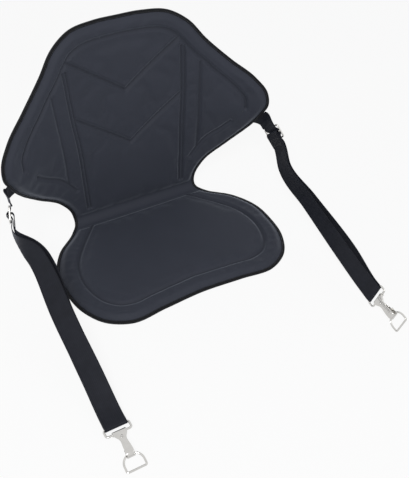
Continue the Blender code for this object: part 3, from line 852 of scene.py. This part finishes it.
    def simulated_swell(self, bm: bmesh.types.BMesh, rim: np.ndarray) -> tuple[np.ndarray, np.ndarray]:
        """Swells the panels between their held lines as cloth under pressure.

        Args:
            bm: The flat sheet.
            rim: The outline.

        Returns:
            The sheet's flat places and how far each swells.
        """
        flat = np.array([v.co[:2] for v in bm.verts])
        x, v = flat[:, 0], flat[:, 1]
        height, _ = self.height(x, v, rim)
        free = self.freedom(x, v, rim)
        start = self.pattern.at(x, v, height)
        out = self.pattern.normal(x, v)
        mesh = bpy.data.meshes.new("swelling")
        bm.to_mesh(mesh)
        mesh.vertices.foreach_set("co", start.astype(np.float32).ravel())
        trial = bpy.data.objects.new("swelling", mesh)
        bpy.context.scene.collection.objects.link(trial)
        held = trial.vertex_groups.new(name="held")
        for i, f in enumerate(free):
            held.add([i], float(1 - f), "REPLACE")
        cloth = trial.modifiers.new("Cloth", "CLOTH")
        self.fabric.apply(cloth, held.name)
        scene = bpy.context.scene
        for number in range(1, self.fabric.frames + 1):
            scene.frame_set(number)
        shown = trial.evaluated_get(bpy.context.evaluated_depsgraph_get())
        found = np.zeros(len(start) * 3, np.float32)
        shown.data.vertices.foreach_get("co", found)
        moved = ((found.reshape(-1, 3) - start) * out).sum(axis=1)
        bpy.data.objects.remove(trial)
        scene.frame_set(1)
        LOG.info("panels swell %.1f to %.1f mm", 1000 * moved.min(), 1000 * moved.max())
        return flat, self.swell * np.tanh(moved / self.swell)

    def spread(self, flat: np.ndarray, value: np.ndarray, x: np.ndarray, v: np.ndarray) -> np.ndarray:
        """Reads a value of the sheet's places at other flat places.

        Args:
            flat: The sheet's places.
            value: Their values.
            x: Wanted places across the pattern.
            v: Wanted places along it.

        Returns:
            The value at each wanted place.
        """
        step, low = self.cell, flat.min(axis=0) - 2 * self.cell
        size = np.ceil((flat.max(axis=0) - low) / step).astype(int) + 3
        table, weight = np.zeros(size), np.zeros(size)
        cells = (flat - low) / step
        for du in (0, 1):
            for dv in (0, 1):
                corner = np.floor(cells).astype(int) + (du, dv)
                share = np.prod(1 - np.abs(cells - corner), axis=1) + 1e-6
                np.add.at(table, tuple(corner.T), share * value)
                np.add.at(weight, tuple(corner.T), share)
        table = table / np.maximum(weight, 1e-6)
        wanted = (np.column_stack([x, v]) - low) / step
        base = np.floor(wanted).astype(int)
        f = wanted - base
        out = np.zeros(len(x))
        for du in (0, 1):
            for dv in (0, 1):
                share = (f[:, 0] if du else 1 - f[:, 0]) * (f[:, 1] if dv else 1 - f[:, 1])
                out += share * table[base[:, 0] + du, base[:, 1] + dv]
        return out

    def build(self, finishes: Finishes) -> bpy.types.Object:
        """Makes the pad: a flat sheet, swelled, made solid, refined at its grooves and folded."""
        bm, rim = self.sheet(self.cell)
        places, swell = self.simulated_swell(bm, rim)
        raised = bmesh.ops.extrude_face_region(bm, geom=list(bm.faces))["geom"]
        top = {g for g in raised if isinstance(g, bmesh.types.BMVert)}
        bmesh.ops.translate(bm, vec=(0.0, 0.0, 1.0), verts=list(top))
        edges = [e for e in bm.edges if all(v.co.z > 0.5 for v in e.verts)]
        bmesh.ops.subdivide_edges(bm, edges=edges, cuts=1, use_grid_fill=True)
        self.refine(bm)
        flat = np.array([v.co[:] for v in bm.verts])
        x, v, level = flat[:, 0], flat[:, 1], flat[:, 2]
        height, groove_shade = self.height(x, v, rim)
        height = height + self.spread(places, swell, x, v) * smoothstep(level)
        solid = self.pattern.at(x, v, np.where(level > 0.5, height, 0.0))
        uv = bm.loops.layers.uv.new("flat")
        sunk = bm.verts.layers.float.new("sunk")
        for face in bm.faces:
            for loop in face.loops:
                loop[uv].uv = loop.vert.co[:2]
        # The sunk layer carries the painted groove shade to the fabric's colour.
        for vert, p, s, up in zip(bm.verts, solid, groove_shade, level):
            vert.co = p
            vert[sunk] = float(s) * self.groove_shade_tone * (up > 0.5)
        piece = finished("puffed_pad", bm, finishes.pad, Slot.PAD, "seat", "moulded_pad")
        return piece

    def refine(self, bm: bmesh.types.BMesh) -> None:
        """Halves the cells of the face beside each groove, and brings points onto its middle."""
        flat = np.array([v.co[:2] for v in bm.verts])
        lines = [line for groove in self.grooves() for line in groove.lines()]
        close = np.full(len(flat), 1e9)
        for line in lines:
            close = np.minimum(close, nearest(flat, line, False)[0])
        near = {v for v, d in zip(bm.verts, close) if d < self.fine_half and v.co.z > 0.5}
        edges = list({e for v in near for e in v.link_edges if all(w in near for w in e.verts)})
        bmesh.ops.subdivide_edges(bm, edges=edges, cuts=1, use_grid_fill=True)
        tops = [v for v in bm.verts if v.co.z > 0.5]
        flat = np.array([v.co[:2] for v in tops])
        best, target = np.full(len(flat), 1e9), flat.copy()
        for line in lines:
            d, foot = nearest(flat, line, False)
            closer = d < best
            best[closer], target[closer] = d[closer], foot[closer]
        for v, d, p in zip(tops, best, target):
            if d < self.snap:
                v.co.x, v.co.y = p


# The bound edge


@dataclass
class EdgeBinding:
    """Tape folded over the pad's edge, with its row of stitches on both faces."""

    pad: MouldedPad
    thick: float = 0.0008
    width: float = 0.006
    gap: float = 0.0003
    stitch: float = 0.0034
    inset: float = 0.0018
    step: float = 0.0042
    ripple: float = 0.00012
    ripple_pitch: float = 0.021

    def section(self, top: float) -> Section:
        """Cross-section of the tape, as (inward, height).

        Args:
            top: Height of the foam's edge.

        Returns:
            Its corners, from the lower lip round the nose to the upper lip and back inside.
        """
        t, w, low, high = self.thick, self.width, -self.gap, top + self.gap
        nose = [0.5 * (high + low) + k * 0.5 * (high - low) for k in (-0.6, 0.0, 0.6)]
        return [
            (w, low - 0.5 * t), (w - 0.0004, low - t), (0.0040, low - t), (0.0020, low - t),
            (0.0010, low - 0.85 * t), (0.0003, low - 0.35 * t), (0.0, nose[0]), (0.0, nose[1]), (0.0, nose[2]),
            (0.0003, high + 0.35 * t), (0.0010, high + 0.85 * t), (0.0020, high + t), (0.0040, high + t),
            (w - 0.0004, high + t), (w, high + 0.5 * t), (w, high), (t, high), (t, low), (w, low),
        ]

    def build(self, finishes: Finishes) -> list[bpy.types.Object]:
        """Makes the tape and its stitches."""
        pattern = self.pad.pattern
        curve = pattern.edge(self.step)
        m = len(curve)
        tangents = [(curve[(i + 1) % m] - curve[i - 1]).normalized() for i in range(m)]
        area = sum(a.x * b.y - b.x * a.y for a, b in zip(curve, curve[1:] + curve[:1]))
        turn = 1.0 if area > 0 else -1.0
        inward = [Vector((-t.y, t.x)) * turn for t in tangents]
        half, rise = self.pad.fold_half, self.pad.fold_rise
        fold = [1 - float(smoothstep((abs(p.y) - half) / rise)) for p in curve]
        tops = [self.pad.border_t + (self.pad.fold_t - self.pad.border_t) * f for f in fold]
        places, shapes = [], []
        for i, (p, n, top) in enumerate(zip(curve, inward, tops)):
            corners = self.section(top)
            flat = np.array([list(p + n * a) for a, _ in corners])
            ripple = self.ripple * math.sin(2 * math.pi * i * self.step / self.ripple_pitch)
            level = np.array([h + ripple * (h > top) for _, h in corners])
            solid = pattern.at(flat[:, 0], flat[:, 1], level)
            middle = pattern.spot(p.x, p.y, top / 2)
            x = (pattern.spot(p.x + n.x * 0.003, p.y + n.y * 0.003, top / 2) - middle).normalized()
            up = Vector(pattern.normal(np.array([p.x]), np.array([p.y]))[0])
            place = matrix_of(middle, x, (up - x * up.dot(x)).normalized())
            back = place.inverted()
            places.append(place)
            shapes.append([tuple(back @ Vector(q)) for q in solid])
        bm = bmesh.new()
        sweep_solid(bm, places, shapes)
        tape = finished("edge_tape", bm, finishes.tape, Slot.TAPE, "seat", "edge_binding")
        return [tape, self.stitches(finishes, curve, inward, tops)]

    def stitches(self, finishes: Finishes, curve: list[Vector], inward: list[Vector],
                 tops: list[float]) -> bpy.types.Object:
        """Rows of stitches near the tape's inner edge, above and below."""
        pattern = self.pad.pattern
        line = [p + n * (self.width - self.inset) for p, n in zip(curve, inward)]
        seam = [Vector((p.x, p.y, top)) for p, top in zip(line, tops)]
        marks = resample(seam, self.stitch / 2, True)
        flat = np.array([list(p) for p in marks])
        up = pattern.normal(flat[:, 0], flat[:, 1])
        seam = Seam(0.0008, 0.00028)
        out = self.gap + self.thick
        for sign, rise in ((1.0, flat[:, 2] + self.gap + self.thick), (-1.0, np.full(len(flat), -out))):
            solid = pattern.at(flat[:, 0], flat[:, 1], rise)
            for i in range(0, len(marks) - 1, 2):
                a, b = Vector(solid[i]), Vector(solid[i + 1])
                a, b = a.lerp(b, -0.25), b.lerp(a, -0.25)
                seam.add(a, b, Vector(up[i]) * sign)
        return finished("edge_stitches", seam.bm, finishes.thread, Slot.THREAD, "seat")


def sweep_solid(bm: bmesh.types.BMesh, places: Sequence[Matrix],
                shapes: Sequence[Sequence[Sequence[float]]]) -> None:
    """A closed sweep of section corners given in three dimensions at each place; only their first two
    coordinates are used.

    Args:
        bm: Where it is added.
        places: The places along the sweep.
        shapes: Local corners (x, y, z) at each place.
    """
    flat = [[(c[0], c[1]) for c in shape] for shape in shapes]
    sweep(bm, places, flat, True)


# Straps


@dataclass(frozen=True)
class StrapRoute:
    """Where one strap runs: slider, points on the way, end ring, and how its two layers part."""

    slider: tuple[float, float, float]
    slider_t: tuple[float, float, float]
    slider_n: tuple[float, float, float]
    via: tuple[tuple[float, float, float], ...]
    turn: tuple[float, ...]
    ring: tuple[float, float, float]
    ring_t: tuple[float, float, float]
    ring_w: tuple[float, float, float]
    bow: float
    bow_at: float
    drop: float

    def slider_place(self) -> Place:
        """The slider's place."""
        return Place(self.slider, self.slider_t, n=self.slider_n)

    def ring_place(self) -> Place:
        """The place of the end ring's upper bar."""
        return Place(self.ring, self.ring_t, w=self.ring_w)


ROUTES = {
    Hand.LEFT: StrapRoute(
        slider=(-0.2861, 0.1844, 0.1531), slider_t=(-0.25, -0.62, -0.74), slider_n=(-0.96, 0.245, 0.118),
        via=((-0.2676, 0.0987, 0.1080), (-0.2700, -0.0160, 0.0700), (-0.2685, -0.1361, 0.0330)),
        turn=(0.0, 0.55, 0.78, 0.90, 1.0),
        ring=(-0.2681, -0.2249, 0.0105), ring_t=(0.0, -1.0, 0.0), ring_w=(1.0, 0.0, 0.0),
        bow=0.0065, bow_at=0.7, drop=11.0),
    Hand.RIGHT: StrapRoute(
        slider=(0.2861, 0.1844, 0.1531), slider_t=(0.25, -0.62, -0.74), slider_n=(0.96, 0.245, 0.118),
        via=((0.2768, 0.1230, 0.1040), (0.2711, 0.0230, 0.0840), (0.2677, -0.1070, 0.0510)),
        turn=(0.0, 0.05, 0.2, 0.6, 1.0),
        ring=(0.2615, -0.2044, 0.0270), ring_t=(-0.08, -0.985, -0.09), ring_w=(0.368, -0.10, 0.917),
        bow=0.0060, bow_at=2.2, drop=3.0),
}

ROD_R = 0.00175
WRAP_GAP = 0.0005
WEB_T = 0.0014
WEB_W = 0.038
SLIDER_L = 0.028
RING_L = 0.014
NEAR = ROD_R + WRAP_GAP + WEB_T / 2
PLY = WEB_T + 0.0009
TAB_AT = (0.234, 0.187)
TAB_TILT = math.radians(24.0)
BOX_THREAD = (0.0009, 0.00035)

Station = tuple[Vector, Vector]


@dataclass
class WebbingStrap:
    """One strap: sewn behind the wing, through the slider, round the end ring and back to the slider."""

    hand: Hand
    route: StrapRoute
    pattern: FoldedPattern
    tab_in: float = 0.020
    tab_out: float = 0.058
    tab_gap: float = 0.0012
    tail_u: float = 0.030
    tab_box: tuple[float, float] = (0.0090, 0.0105)
    end_box: tuple[float, float] = (0.0070, 0.0140)
    pitch: float = 0.0025
    end_box_u: float = 0.0185
    mark_h: float = 0.0102

    def tab(self) -> list[Station]:
        """The stretch sewn flat behind the wing."""
        sign, out, count = self.hand.value, [], 8
        for i in range(count + 1):
            d = -self.tab_in + (self.tab_in + self.tab_out) * i / count
            x = sign * (TAB_AT[0] + d * math.cos(TAB_TILT))
            v = TAB_AT[1] - d * math.sin(TAB_TILT)
            step = self.pattern.lift * float(smoothstep((d + 0.012) / 0.022))
            dx, dv = self.pattern.directions(x, v)
            p = self.pattern.spot(x, v, -(self.tab_gap + WEB_T / 2) - step)
            out.append((p, dx * math.sin(TAB_TILT) * sign + dv * math.cos(TAB_TILT)))
        return out

    def weave(self, slider: Place, width: Vector) -> tuple[list[Station], list[Station]]:
        """The two passages of the slider.

        Args:
            slider: The slider's place.
            width: The webbing's width direction there.

        Returns:
            The passage over the centre bar, and the end looped round it.
        """
        half = SLIDER_L / 2
        exit_u = half + 0.008
        over = [(-half - 0.006, -NEAR), (-half, -NEAR), (-0.0080, -0.4 * NEAR), (-0.0040, NEAR),
                (0.0, NEAR + PLY), (0.0045, NEAR), (0.0085, -0.4 * NEAR), (half, -NEAR),
                (exit_u, -0.0016)]
        turns = [math.radians(a) for a in (-15, 45, 90, 135, 185)]
        loop = [(exit_u, -0.0054), (half, -NEAR - PLY), (0.0064, -NEAR - 0.5 * PLY)]
        loop += [(NEAR * math.cos(a), NEAR * math.sin(a)) for a in turns]
        outer = -NEAR - 2 * PLY
        loop += [(-0.9 * NEAR, -NEAR - PLY), (0.0005, outer + 0.0003), (0.0080, outer), (0.0180, outer),
                 (self.tail_u, outer)]
        first, second = ([(q, width) for q in catmull([slider.at(u, n) for u, n in path], 3, False)]
                         for path in (over, loop))
        return first, second

    def path(self) -> list[Station]:
        """The whole strap, as points with width directions."""
        slider, ring = self.route.slider_place(), self.route.ring_place()
        tab = self.tab()
        w0 = slider.w if slider.w.dot(tab[-1][1]) > 0 else -slider.w
        top, low = self.weave(slider, w0)
        start, end = tab[-1], top[0]
        length = (end[0] - start[0]).length
        leave = (tab[-1][0] - tab[-2][0]).normalized() * length
        join = [(hermite(start[0], end[0], leave, slider.t * length, i / 6),
                 start[1].lerp(end[1], float(smoothstep(i / 6))).normalized()) for i in range(1, 6)]
        wr = ring.w if ring.w.dot(w0) > -0.2 else -ring.w
        flip = -1.0 if slider.w.dot(w0) > 0 else 1.0
        wide = [w0.lerp(wr, f).normalized() for f in self.route.turn]
        apart, exit_n, per = 0.0019, -0.0035, 9
        keys = [slider.at(SLIDER_L / 2 - 0.004, exit_n), slider.at(SLIDER_L / 2 + 0.008, exit_n)]
        keys += [*[Vector(p) for p in self.route.via], ring.at(-0.010), ring.at(0.0)]
        run = catmull(keys, per, False)[per:-per]
        side_a, side_b = [], []
        last = len(run) - 1
        for i, p in enumerate(run):
            f = i / last
            t = (run[min(i + 1, last)] - run[max(i - 1, 0)]).normalized()
            k = min(int(f * 4), 3)
            w = wide[k].lerp(wide[k + 1], float(smoothstep(f * 4 - k))).normalized()
            w = (w - t * w.dot(t)).normalized()
            n = w.cross(t).normalized() * flip
            bow = self.route.bow * math.sin(math.pi * f ** self.route.bow_at) ** 2
            sep = apart + (NEAR - apart) * float(smoothstep(f)) + bow
            side_a.append((p + n * sep, w))
            side_b.append((p - n * sep, w))
        turns = [math.pi * j / 10 for j in range(11)]
        wrap = [(ring.at(NEAR * math.sin(a), NEAR * math.cos(a)), wr) for a in turns]
        if (wrap[0][0] - side_a[-1][0]).length > (wrap[0][0] - side_b[-1][0]).length:
            wrap.reverse()
        return tab + join + top[:-1] + side_a[1:-1] + wrap + list(reversed(side_b))[1:-1] + low[1:]

    def build(self, finishes: Finishes) -> list[bpy.types.Object]:
        """Makes the webbing and its two sewn marks."""
        stations = self.path()
        points = catmull([p for p, _ in stations], 3, False)
        widths = [w for _, w in stations]
        places = []
        last = len(points) - 1
        for i, p in enumerate(points):
            t = (points[min(i + 1, last)] - points[max(i - 1, 0)]).normalized()
            k, f = divmod(i / 3, 1)
            w = widths[int(k)].lerp(widths[min(int(k) + 1, len(widths) - 1)], f)
            w = (w - t * w.dot(t)).normalized()
            places.append(matrix_of(p, w, w.cross(t).normalized()))
        half, h = WEB_W / 2, WEB_T / 2
        inner, outer, end = 0.0162, 0.0166, half - 0.0004
        quarter = [(inner, 0.86 * h), (outer, h), (end, h), (half, 0.4 * h)]
        face = [(-w, -t) for w, t in reversed(quarter[:3])] + [(w, -t) for w, t in quarter]
        section = face + [(w, t) for w, t in reversed(quarter)] + [(-w, t) for w, t in quarter]
        section += [(-half, -0.4 * h)]
        bm = bmesh.new()
        sweep(bm, places, [section], False)
        side = self.hand.name.lower()
        strap = finished(f"{side}_webbing", bm, finishes.webbing, Slot.WEBBING, "seat", f"{side}_strap")
        return [strap, self.tab_marks(finishes), self.end_marks(finishes)]

    def box_x(self, half_u: float, half_w: float) -> list[tuple[Vector, Vector]]:
        """Lines of a stitched box with a cross."""
        signs = ((-1, -1), (1, -1), (1, 1), (-1, 1))
        a, b, c, d = (Vector((su * half_u, sw * half_w)) for su, sw in signs)
        return [(a, b), (b, c), (c, d), (d, a), (a, c), (b, d)]

    def tab_marks(self, finishes: Finishes) -> bpy.types.Object:
        """The sewn mark on the wing's face."""
        sign = self.hand.value
        along = Vector((sign * math.cos(TAB_TILT), -math.sin(TAB_TILT)))
        across = Vector((sign * math.sin(TAB_TILT), math.cos(TAB_TILT)))
        centre = Vector((sign * TAB_AT[0], TAB_AT[1]))

        def place(p: Vector) -> Vector:
            """A point of the mark on the wing."""
            q = centre + along * p.x + across * p.y
            return self.pattern.spot(q.x, q.y, self.mark_h)

        up = Vector(self.pattern.normal(np.array([centre.x]), np.array([centre.y]))[0])
        seam = Seam(*BOX_THREAD)
        for a, b in self.box_x(*self.tab_box):
            seam.row(a, b, place, up, self.pitch)
        side = self.hand.name.lower()
        return finished(f"{side}_wing_stitches", seam.bm, finishes.thread, Slot.THREAD, "seat",
                        f"{side}_tab_stitching")

    def end_marks(self, finishes: Finishes) -> bpy.types.Object:
        """The sewn mark that closes the loop round the slider's bar."""
        slider = self.route.slider_place()
        face = -NEAR - 2 * PLY - WEB_T / 2

        def place(p: Vector) -> Vector:
            """A point of the mark on the strap's end."""
            return slider.at(self.end_box_u + p.x, face - 0.0001, p.y)

        seam = Seam(*BOX_THREAD)
        for a, b in self.box_x(*self.end_box):
            seam.row(a, b, place, -slider.n, self.pitch)
        side = self.hand.name.lower()
        return finished(f"{side}_loop_stitches", seam.bm, finishes.thread, Slot.THREAD, "seat",
                        f"{side}_end_stitching")


# Hardware


@dataclass
class StrapHardware:
    """Slider, end ring, snap hook with its gate and rivet, and D-ring of one strap."""

    hand: Hand
    route: StrapRoute
    corner_r: float = 0.004
    hook_t: float = 0.0018
    hook_w: float = 0.013
    sleeve_w: float = 0.023
    bow_u: float = 0.039
    bow_r: float = 0.0060
    nose_u: float = 0.028
    d_wire: float = 0.0017
    d_w: float = 0.0325
    d_leg: float = 0.010
    d_slack: float = 0.0009
    gate_t: float = 0.0010
    gate_w: float = 0.009
    gate_play: float = 0.0008
    rivet_u: float = 0.0100
    rivet_head: float = 0.0022

    def name(self, word: str) -> str:
        """A name with the side in front."""
        return f"{self.hand.name.lower()}_{word}"

    def metal(self, bm: bmesh.types.BMesh, finishes: Finishes, word: str, body: str,
              node: str) -> bpy.types.Object:
        """Finishes one metal piece."""
        return finished(self.name(word), bm, finishes.nickel, Slot.NICKEL, body, self.name(node))

    def build(self, finishes: Finishes) -> list[bpy.types.Object]:
        """Makes every metal piece of this side."""
        slider, ring = self.route.slider_place(), self.route.ring_place()
        hook = Place(ring.at(RING_L), ring.t, w=ring.w)
        return [
            self.wire_slider(slider, finishes), self.end_ring(ring, finishes),
            self.snap_hook(hook, finishes), self.leaf_gate(hook, finishes), self.rivet(hook, finishes),
            self.d_ring(hook, finishes),
        ]

    def wire_slider(self, f: Place, finishes: Finishes) -> bpy.types.Object:
        """Flat wire frame with a centre bar."""
        half = WEB_W / 2 + 0.0033 + ROD_R
        points = [f.at(u, 0, w) for u, w in rounded_box(SLIDER_L / 2, half, self.corner_r)]
        bm = bmesh.new()
        sweep(bm, wire_places(points, f.n, True), [circle(ROD_R)], True)
        bar = [f.at(0, 0, half * k) for k in (-1.0, -0.5, 0.0, 0.5, 1.0)]
        sweep(bm, wire_places(bar, f.n, False), [circle(0.98 * ROD_R)], False)
        return self.metal(bm, finishes, "wire_slider", "seat", "slider")

    def end_ring(self, f: Place, finishes: Finishes) -> bpy.types.Object:
        """Rectangular wire ring in the webbing's loop."""
        half = WEB_W / 2 + 0.00075 + ROD_R
        points = [f.at(RING_L / 2 + u, 0, w) for u, w in rounded_box(RING_L / 2, half, self.corner_r)]
        bm = bmesh.new()
        sweep(bm, wire_places(points, f.n, True), [circle(ROD_R)], True)
        return self.metal(bm, finishes, "wire_ring", self.name("ring"), "end_ring")

    def strip(self, f: Place, profile: Sequence[tuple[float, float, float]], thick: float,
              soft: float) -> bmesh.types.BMesh:
        """Bent metal strip with eased edges.

        Args:
            f: The strip's place.
            profile: Bends, as (along, outward, half width).
            thick: Thickness.
            soft: Radius of the eased edges.

        Returns:
            The strip.
        """
        fine = catmull(profile, 4, False)
        last = len(fine) - 1
        places, shapes = [], []
        for i, p in enumerate(fine):
            a, b = fine[max(i - 1, 0)], fine[min(i + 1, last)]
            t = Vector((b.x - a.x, b.y - a.y)).normalized()
            normal = f.t * -t.y + f.n * t.x
            places.append(matrix_of(f.at(p.x, p.y), f.w, normal))
            half, h, s = p.z, thick / 2, soft
            shapes.append([
                (-half + s, -h), (0.0, -h), (half - s, -h), (half - 0.3 * s, -h + 0.3 * s), (half, -h + s),
                (half, h - s), (half - 0.3 * s, h - 0.3 * s), (half - s, h), (0.0, h), (-half + s, h),
                (-half + 0.3 * s, h - 0.3 * s), (-half, h - s), (-half, -h + s),
                (-half + 0.3 * s, -h + 0.3 * s)])
        bm = bmesh.new()
        sweep(bm, places, shapes, False)
        return bm

    def snap_hook(self, f: Place, finishes: Finishes) -> bpy.types.Object:
        """Strip hook folded round the ring's lower bar."""
        r = ROD_R + WRAP_GAP + self.hook_t / 2
        bow_n = r - self.bow_r
        wide, narrow = self.sleeve_w / 2, self.hook_w / 2
        turns = [math.radians(-70 - 200 * j / 12) for j in range(13)]
        profile = [(r * math.cos(a), r * math.sin(a), wide) for a in turns]
        profile += [(0.004, r, wide), (0.009, r, (wide + narrow) / 2), (0.013, r, narrow),
                    (0.031, r, narrow)]
        bow = [math.radians(90 - 180 * j / 8) for j in range(9)]
        profile += [(self.bow_u + self.bow_r * math.cos(a), bow_n + self.bow_r * math.sin(a), narrow)
                    for a in bow]
        profile += [(u, bow_n - self.bow_r, narrow - 0.001) for u in (self.nose_u + 0.006, self.nose_u)]
        bm = self.strip(f, profile, self.hook_t, 0.0004)
        return self.metal(bm, finishes, "strip_hook", self.name("snap_hook"), "hook")

    def leaf_gate(self, f: Place, finishes: Finishes) -> bpy.types.Object:
        """Leaf from the rivet to the hook's nose."""
        r = ROD_R + WRAP_GAP + self.hook_t / 2
        bow_n = r - self.bow_r
        root = r - self.hook_t / 2 - self.gate_play - self.gate_t / 2
        tip = bow_n - self.bow_r + self.hook_t / 2 + 0.0004 + self.gate_t / 2
        half = self.gate_w / 2
        bends = [(self.rivet_u - 0.0025, root, half), (self.rivet_u + 0.0025, root, half),
                 (self.rivet_u + 0.006, root - 0.0013, half), (self.nose_u, tip + 0.0008, half),
                 (self.nose_u + 0.004, tip, half)]
        bm = self.strip(f, bends, self.gate_t, 0.0003)
        return self.metal(bm, finishes, "spring_leaf", self.name("leaf_gate"), "gate")

    def rivet(self, f: Place, finishes: Finishes) -> bpy.types.Object:
        """Rivet with two domed heads, turned from its outline."""
        r = ROD_R + WRAP_GAP + self.hook_t / 2
        low = r - self.hook_t / 2 - 2 * self.gate_play - self.gate_t
        high = r + self.hook_t / 2 + 0.0004
        head, dome, shank = self.rivet_head, 0.0007, 0.0012
        outline = [(0.0, high + dome), (0.5 * head, high + 0.88 * dome), (0.82 * head, high + 0.5 * dome),
                   (head, high), (shank, high), (shank, low), (head, low), (0.82 * head, low - 0.5 * dome),
                   (0.5 * head, low - 0.88 * dome), (0.0, low - dome)]
        bm = bmesh.new()
        verts = [bm.verts.new(f.at(self.rivet_u + a, h)) for a, h in outline]
        edges = [bm.edges.new(pair) for pair in zip(verts, verts[1:])]
        bmesh.ops.spin(bm, geom=verts + edges, cent=f.at(self.rivet_u), axis=f.n, angle=2 * math.pi,
                       steps=20, use_merge=True)
        bmesh.ops.remove_doubles(bm, verts=bm.verts, dist=1e-6)
        return self.metal(bm, finishes, "domed_rivet", self.name("snap_hook"), "rivet")

    def d_ring(self, f: Place, finishes: Finishes) -> bpy.types.Object:
        """D-ring whose arc passes through the hook's bow."""
        r = ROD_R + WRAP_GAP + self.hook_t / 2
        drop = math.radians(self.route.drop)
        hang = f.t * math.cos(drop) - f.n * math.sin(drop)
        place = Place(f.at(self.bow_u, r - self.bow_r), hang, w=f.w)
        half = self.d_w / 2
        leg = self.d_slack + half + self.d_leg
        bend = 0.0025
        arc = [math.radians(180 * j / 28) for j in range(29)]
        shape = [(self.d_slack + half - half * math.sin(a), -half * math.cos(a)) for a in arc]
        shape += [(leg - 2.4 * bend, half)]
        turns = [math.radians(90 * j / 8) for j in range(9)]
        corner = [(leg - bend + bend * math.sin(a), half - bend + bend * math.cos(a)) for a in turns]
        shape += corner + [(leg, k * (half - bend)) for k in (0.5, 0.0, -0.5)]
        shape += [(u, -w) for u, w in reversed(corner)] + [(leg - 2.4 * bend, -half)]
        bm = bmesh.new()
        curve = [place.at(u, 0, w) for u, w in shape]
        sweep(bm, wire_places(curve, place.n, True), [circle(self.d_wire)], True)
        return self.metal(bm, finishes, "dee", self.name("dee"), "d_ring")


# Studio


@dataclass(frozen=True)
class Studio:
    """White floor, soft light and the camera at the photograph's angle."""

    eye: tuple[float, float, float] = (-0.4559, -0.8497, 0.9417)
    back: tuple[float, float, float] = (-0.3683, -0.6640, 0.6508)
    right: tuple[float, float, float] = (0.8744, -0.4851, 0.0)
    lens: float = 52.46
    lamps: tuple[tuple[str, tuple[float, float, float], float, float], ...] = (
        ("key", (-1.04, -1.50, 1.94), 0.8, 34.0), ("fill", (1.6, -1.2, 1.8), 1.6, 3.0))
    aim: tuple[float, float, float] = (0.0, 0.05, 0.12)
    sky: tuple[float, float, float, float] = (0.95, 0.97, 1.0, 1.0)
    sky_light: float = 0.40
    floor_glow: float = 0.90
    floor_half: float = 30.0

    def camera(self) -> None:
        """Places the camera."""
        data = bpy.data.cameras.new("camera")
        data.lens, data.sensor_width = self.lens, 36.0
        data.clip_start, data.clip_end = 0.05, 100.0
        z, x = Vector(self.back).normalized(), Vector(self.right).normalized()
        y = z.cross(x).normalized()
        holder = bpy.data.objects.new("camera", data)
        holder.matrix_world = matrix_of(Vector(self.eye), x, y)
        bpy.context.scene.collection.objects.link(holder)
        bpy.context.scene.camera = holder

    def lamp(self, name: str, place: tuple[float, float, float], size: float, watts: float) -> None:
        """An area lamp aimed at the seat."""
        data = bpy.data.lights.new(name, "AREA")
        data.shape, data.size, data.energy = "DISK", size, watts
        holder = bpy.data.objects.new(name, data)
        aim = Vector(self.aim) - Vector(place)
        holder.rotation_euler = aim.to_track_quat("-Z", "Y").to_euler()
        holder.location = place
        bpy.context.scene.collection.objects.link(holder)

    def world(self) -> None:
        """Plain light all round, white to the camera and in reflections."""
        world = bpy.data.worlds.new("studio")
        bpy.context.scene.world = world
        world.use_nodes = True
        tree = world.node_tree
        shown = tree.nodes["Background"]
        shown.inputs[0].default_value, shown.inputs[1].default_value = (1.0, 1.0, 1.0, 1.0), 1.0
        light = tree.nodes.new("ShaderNodeBackground")
        light.inputs[0].default_value, light.inputs[1].default_value = self.sky, self.sky_light
        rays, either = tree.nodes.new("ShaderNodeLightPath"), tree.nodes.new("ShaderNodeMath")
        both = tree.nodes.new("ShaderNodeMath")
        either.operation = both.operation = "MAXIMUM"
        mix = tree.nodes.new("ShaderNodeMixShader")
        tree.links.new(rays.outputs["Is Camera Ray"], either.inputs[0])
        tree.links.new(rays.outputs["Is Glossy Ray"], either.inputs[1])
        tree.links.new(either.outputs[0], both.inputs[0])
        tree.links.new(rays.outputs["Is Transmission Ray"], both.inputs[1])
        tree.links.new(both.outputs[0], mix.inputs[0])
        tree.links.new(light.outputs[0], mix.inputs[1])
        tree.links.new(shown.outputs[0], mix.inputs[2])
        tree.links.new(mix.outputs[0], tree.nodes["World Output"].inputs[0])

    def floor(self) -> None:
        """A wide white floor that keeps the seat's soft shadow."""
        bm = bmesh.new()
        bmesh.ops.create_grid(bm, x_segments=4, y_segments=4, size=self.floor_half)
        mesh = bpy.data.meshes.new("floor")
        bm.to_mesh(mesh)
        bm.free()
        floor = bpy.data.objects.new("floor", mesh)
        bpy.context.scene.collection.objects.link(floor)
        desk = Desk("white_floor")
        desk.surface(Base_Color=(0.82, 0.82, 0.82, 1.0), Roughness=1.0, Specular_IOR_Level=0.0)
        glow = desk.node("ShaderNodeEmission", {0: (1.0, 1.0, 1.0, 1.0), 1: 1.0})
        rays = desk.node("ShaderNodeLightPath").outputs
        seen = desk.sum("MAXIMUM", desk.sum("MAXIMUM", rays["Is Camera Ray"], rays["Is Glossy Ray"]),
                        rays["Is Transmission Ray"])
        share = desk.sum("MULTIPLY", seen, self.floor_glow)
        mix = desk.node("ShaderNodeMixShader", {0: share, 1: desk.shader.outputs[0], 2: glow.outputs[0]})
        desk.tree.links.new(mix.outputs[0], desk.tree.nodes["Material Output"].inputs[0])
        mesh.materials.append(desk.material)

    def build(self) -> None:
        """Makes the studio."""
        self.camera()
        self.world()
        self.floor()
        for lamp in self.lamps:
            self.lamp(*lamp)
        bpy.context.scene.view_settings.view_transform = "Standard"


def main() -> None:
    """Builds the seat from its pad outwards, then the studio."""
    logging.basicConfig(level=logging.INFO, format="%(relativeCreated)6d ms %(message)s")
    finishes = Finishes()
    pattern = FoldedPattern()
    pad = MouldedPad(pattern)
    pad.build(finishes)
    EdgeBinding(pad).build(finishes)
    for hand, route in ROUTES.items():
        WebbingStrap(hand, route, pattern).build(finishes)
        StrapHardware(hand, route).build(finishes)
    Studio().build()


if __name__ == "__main__":
    main()
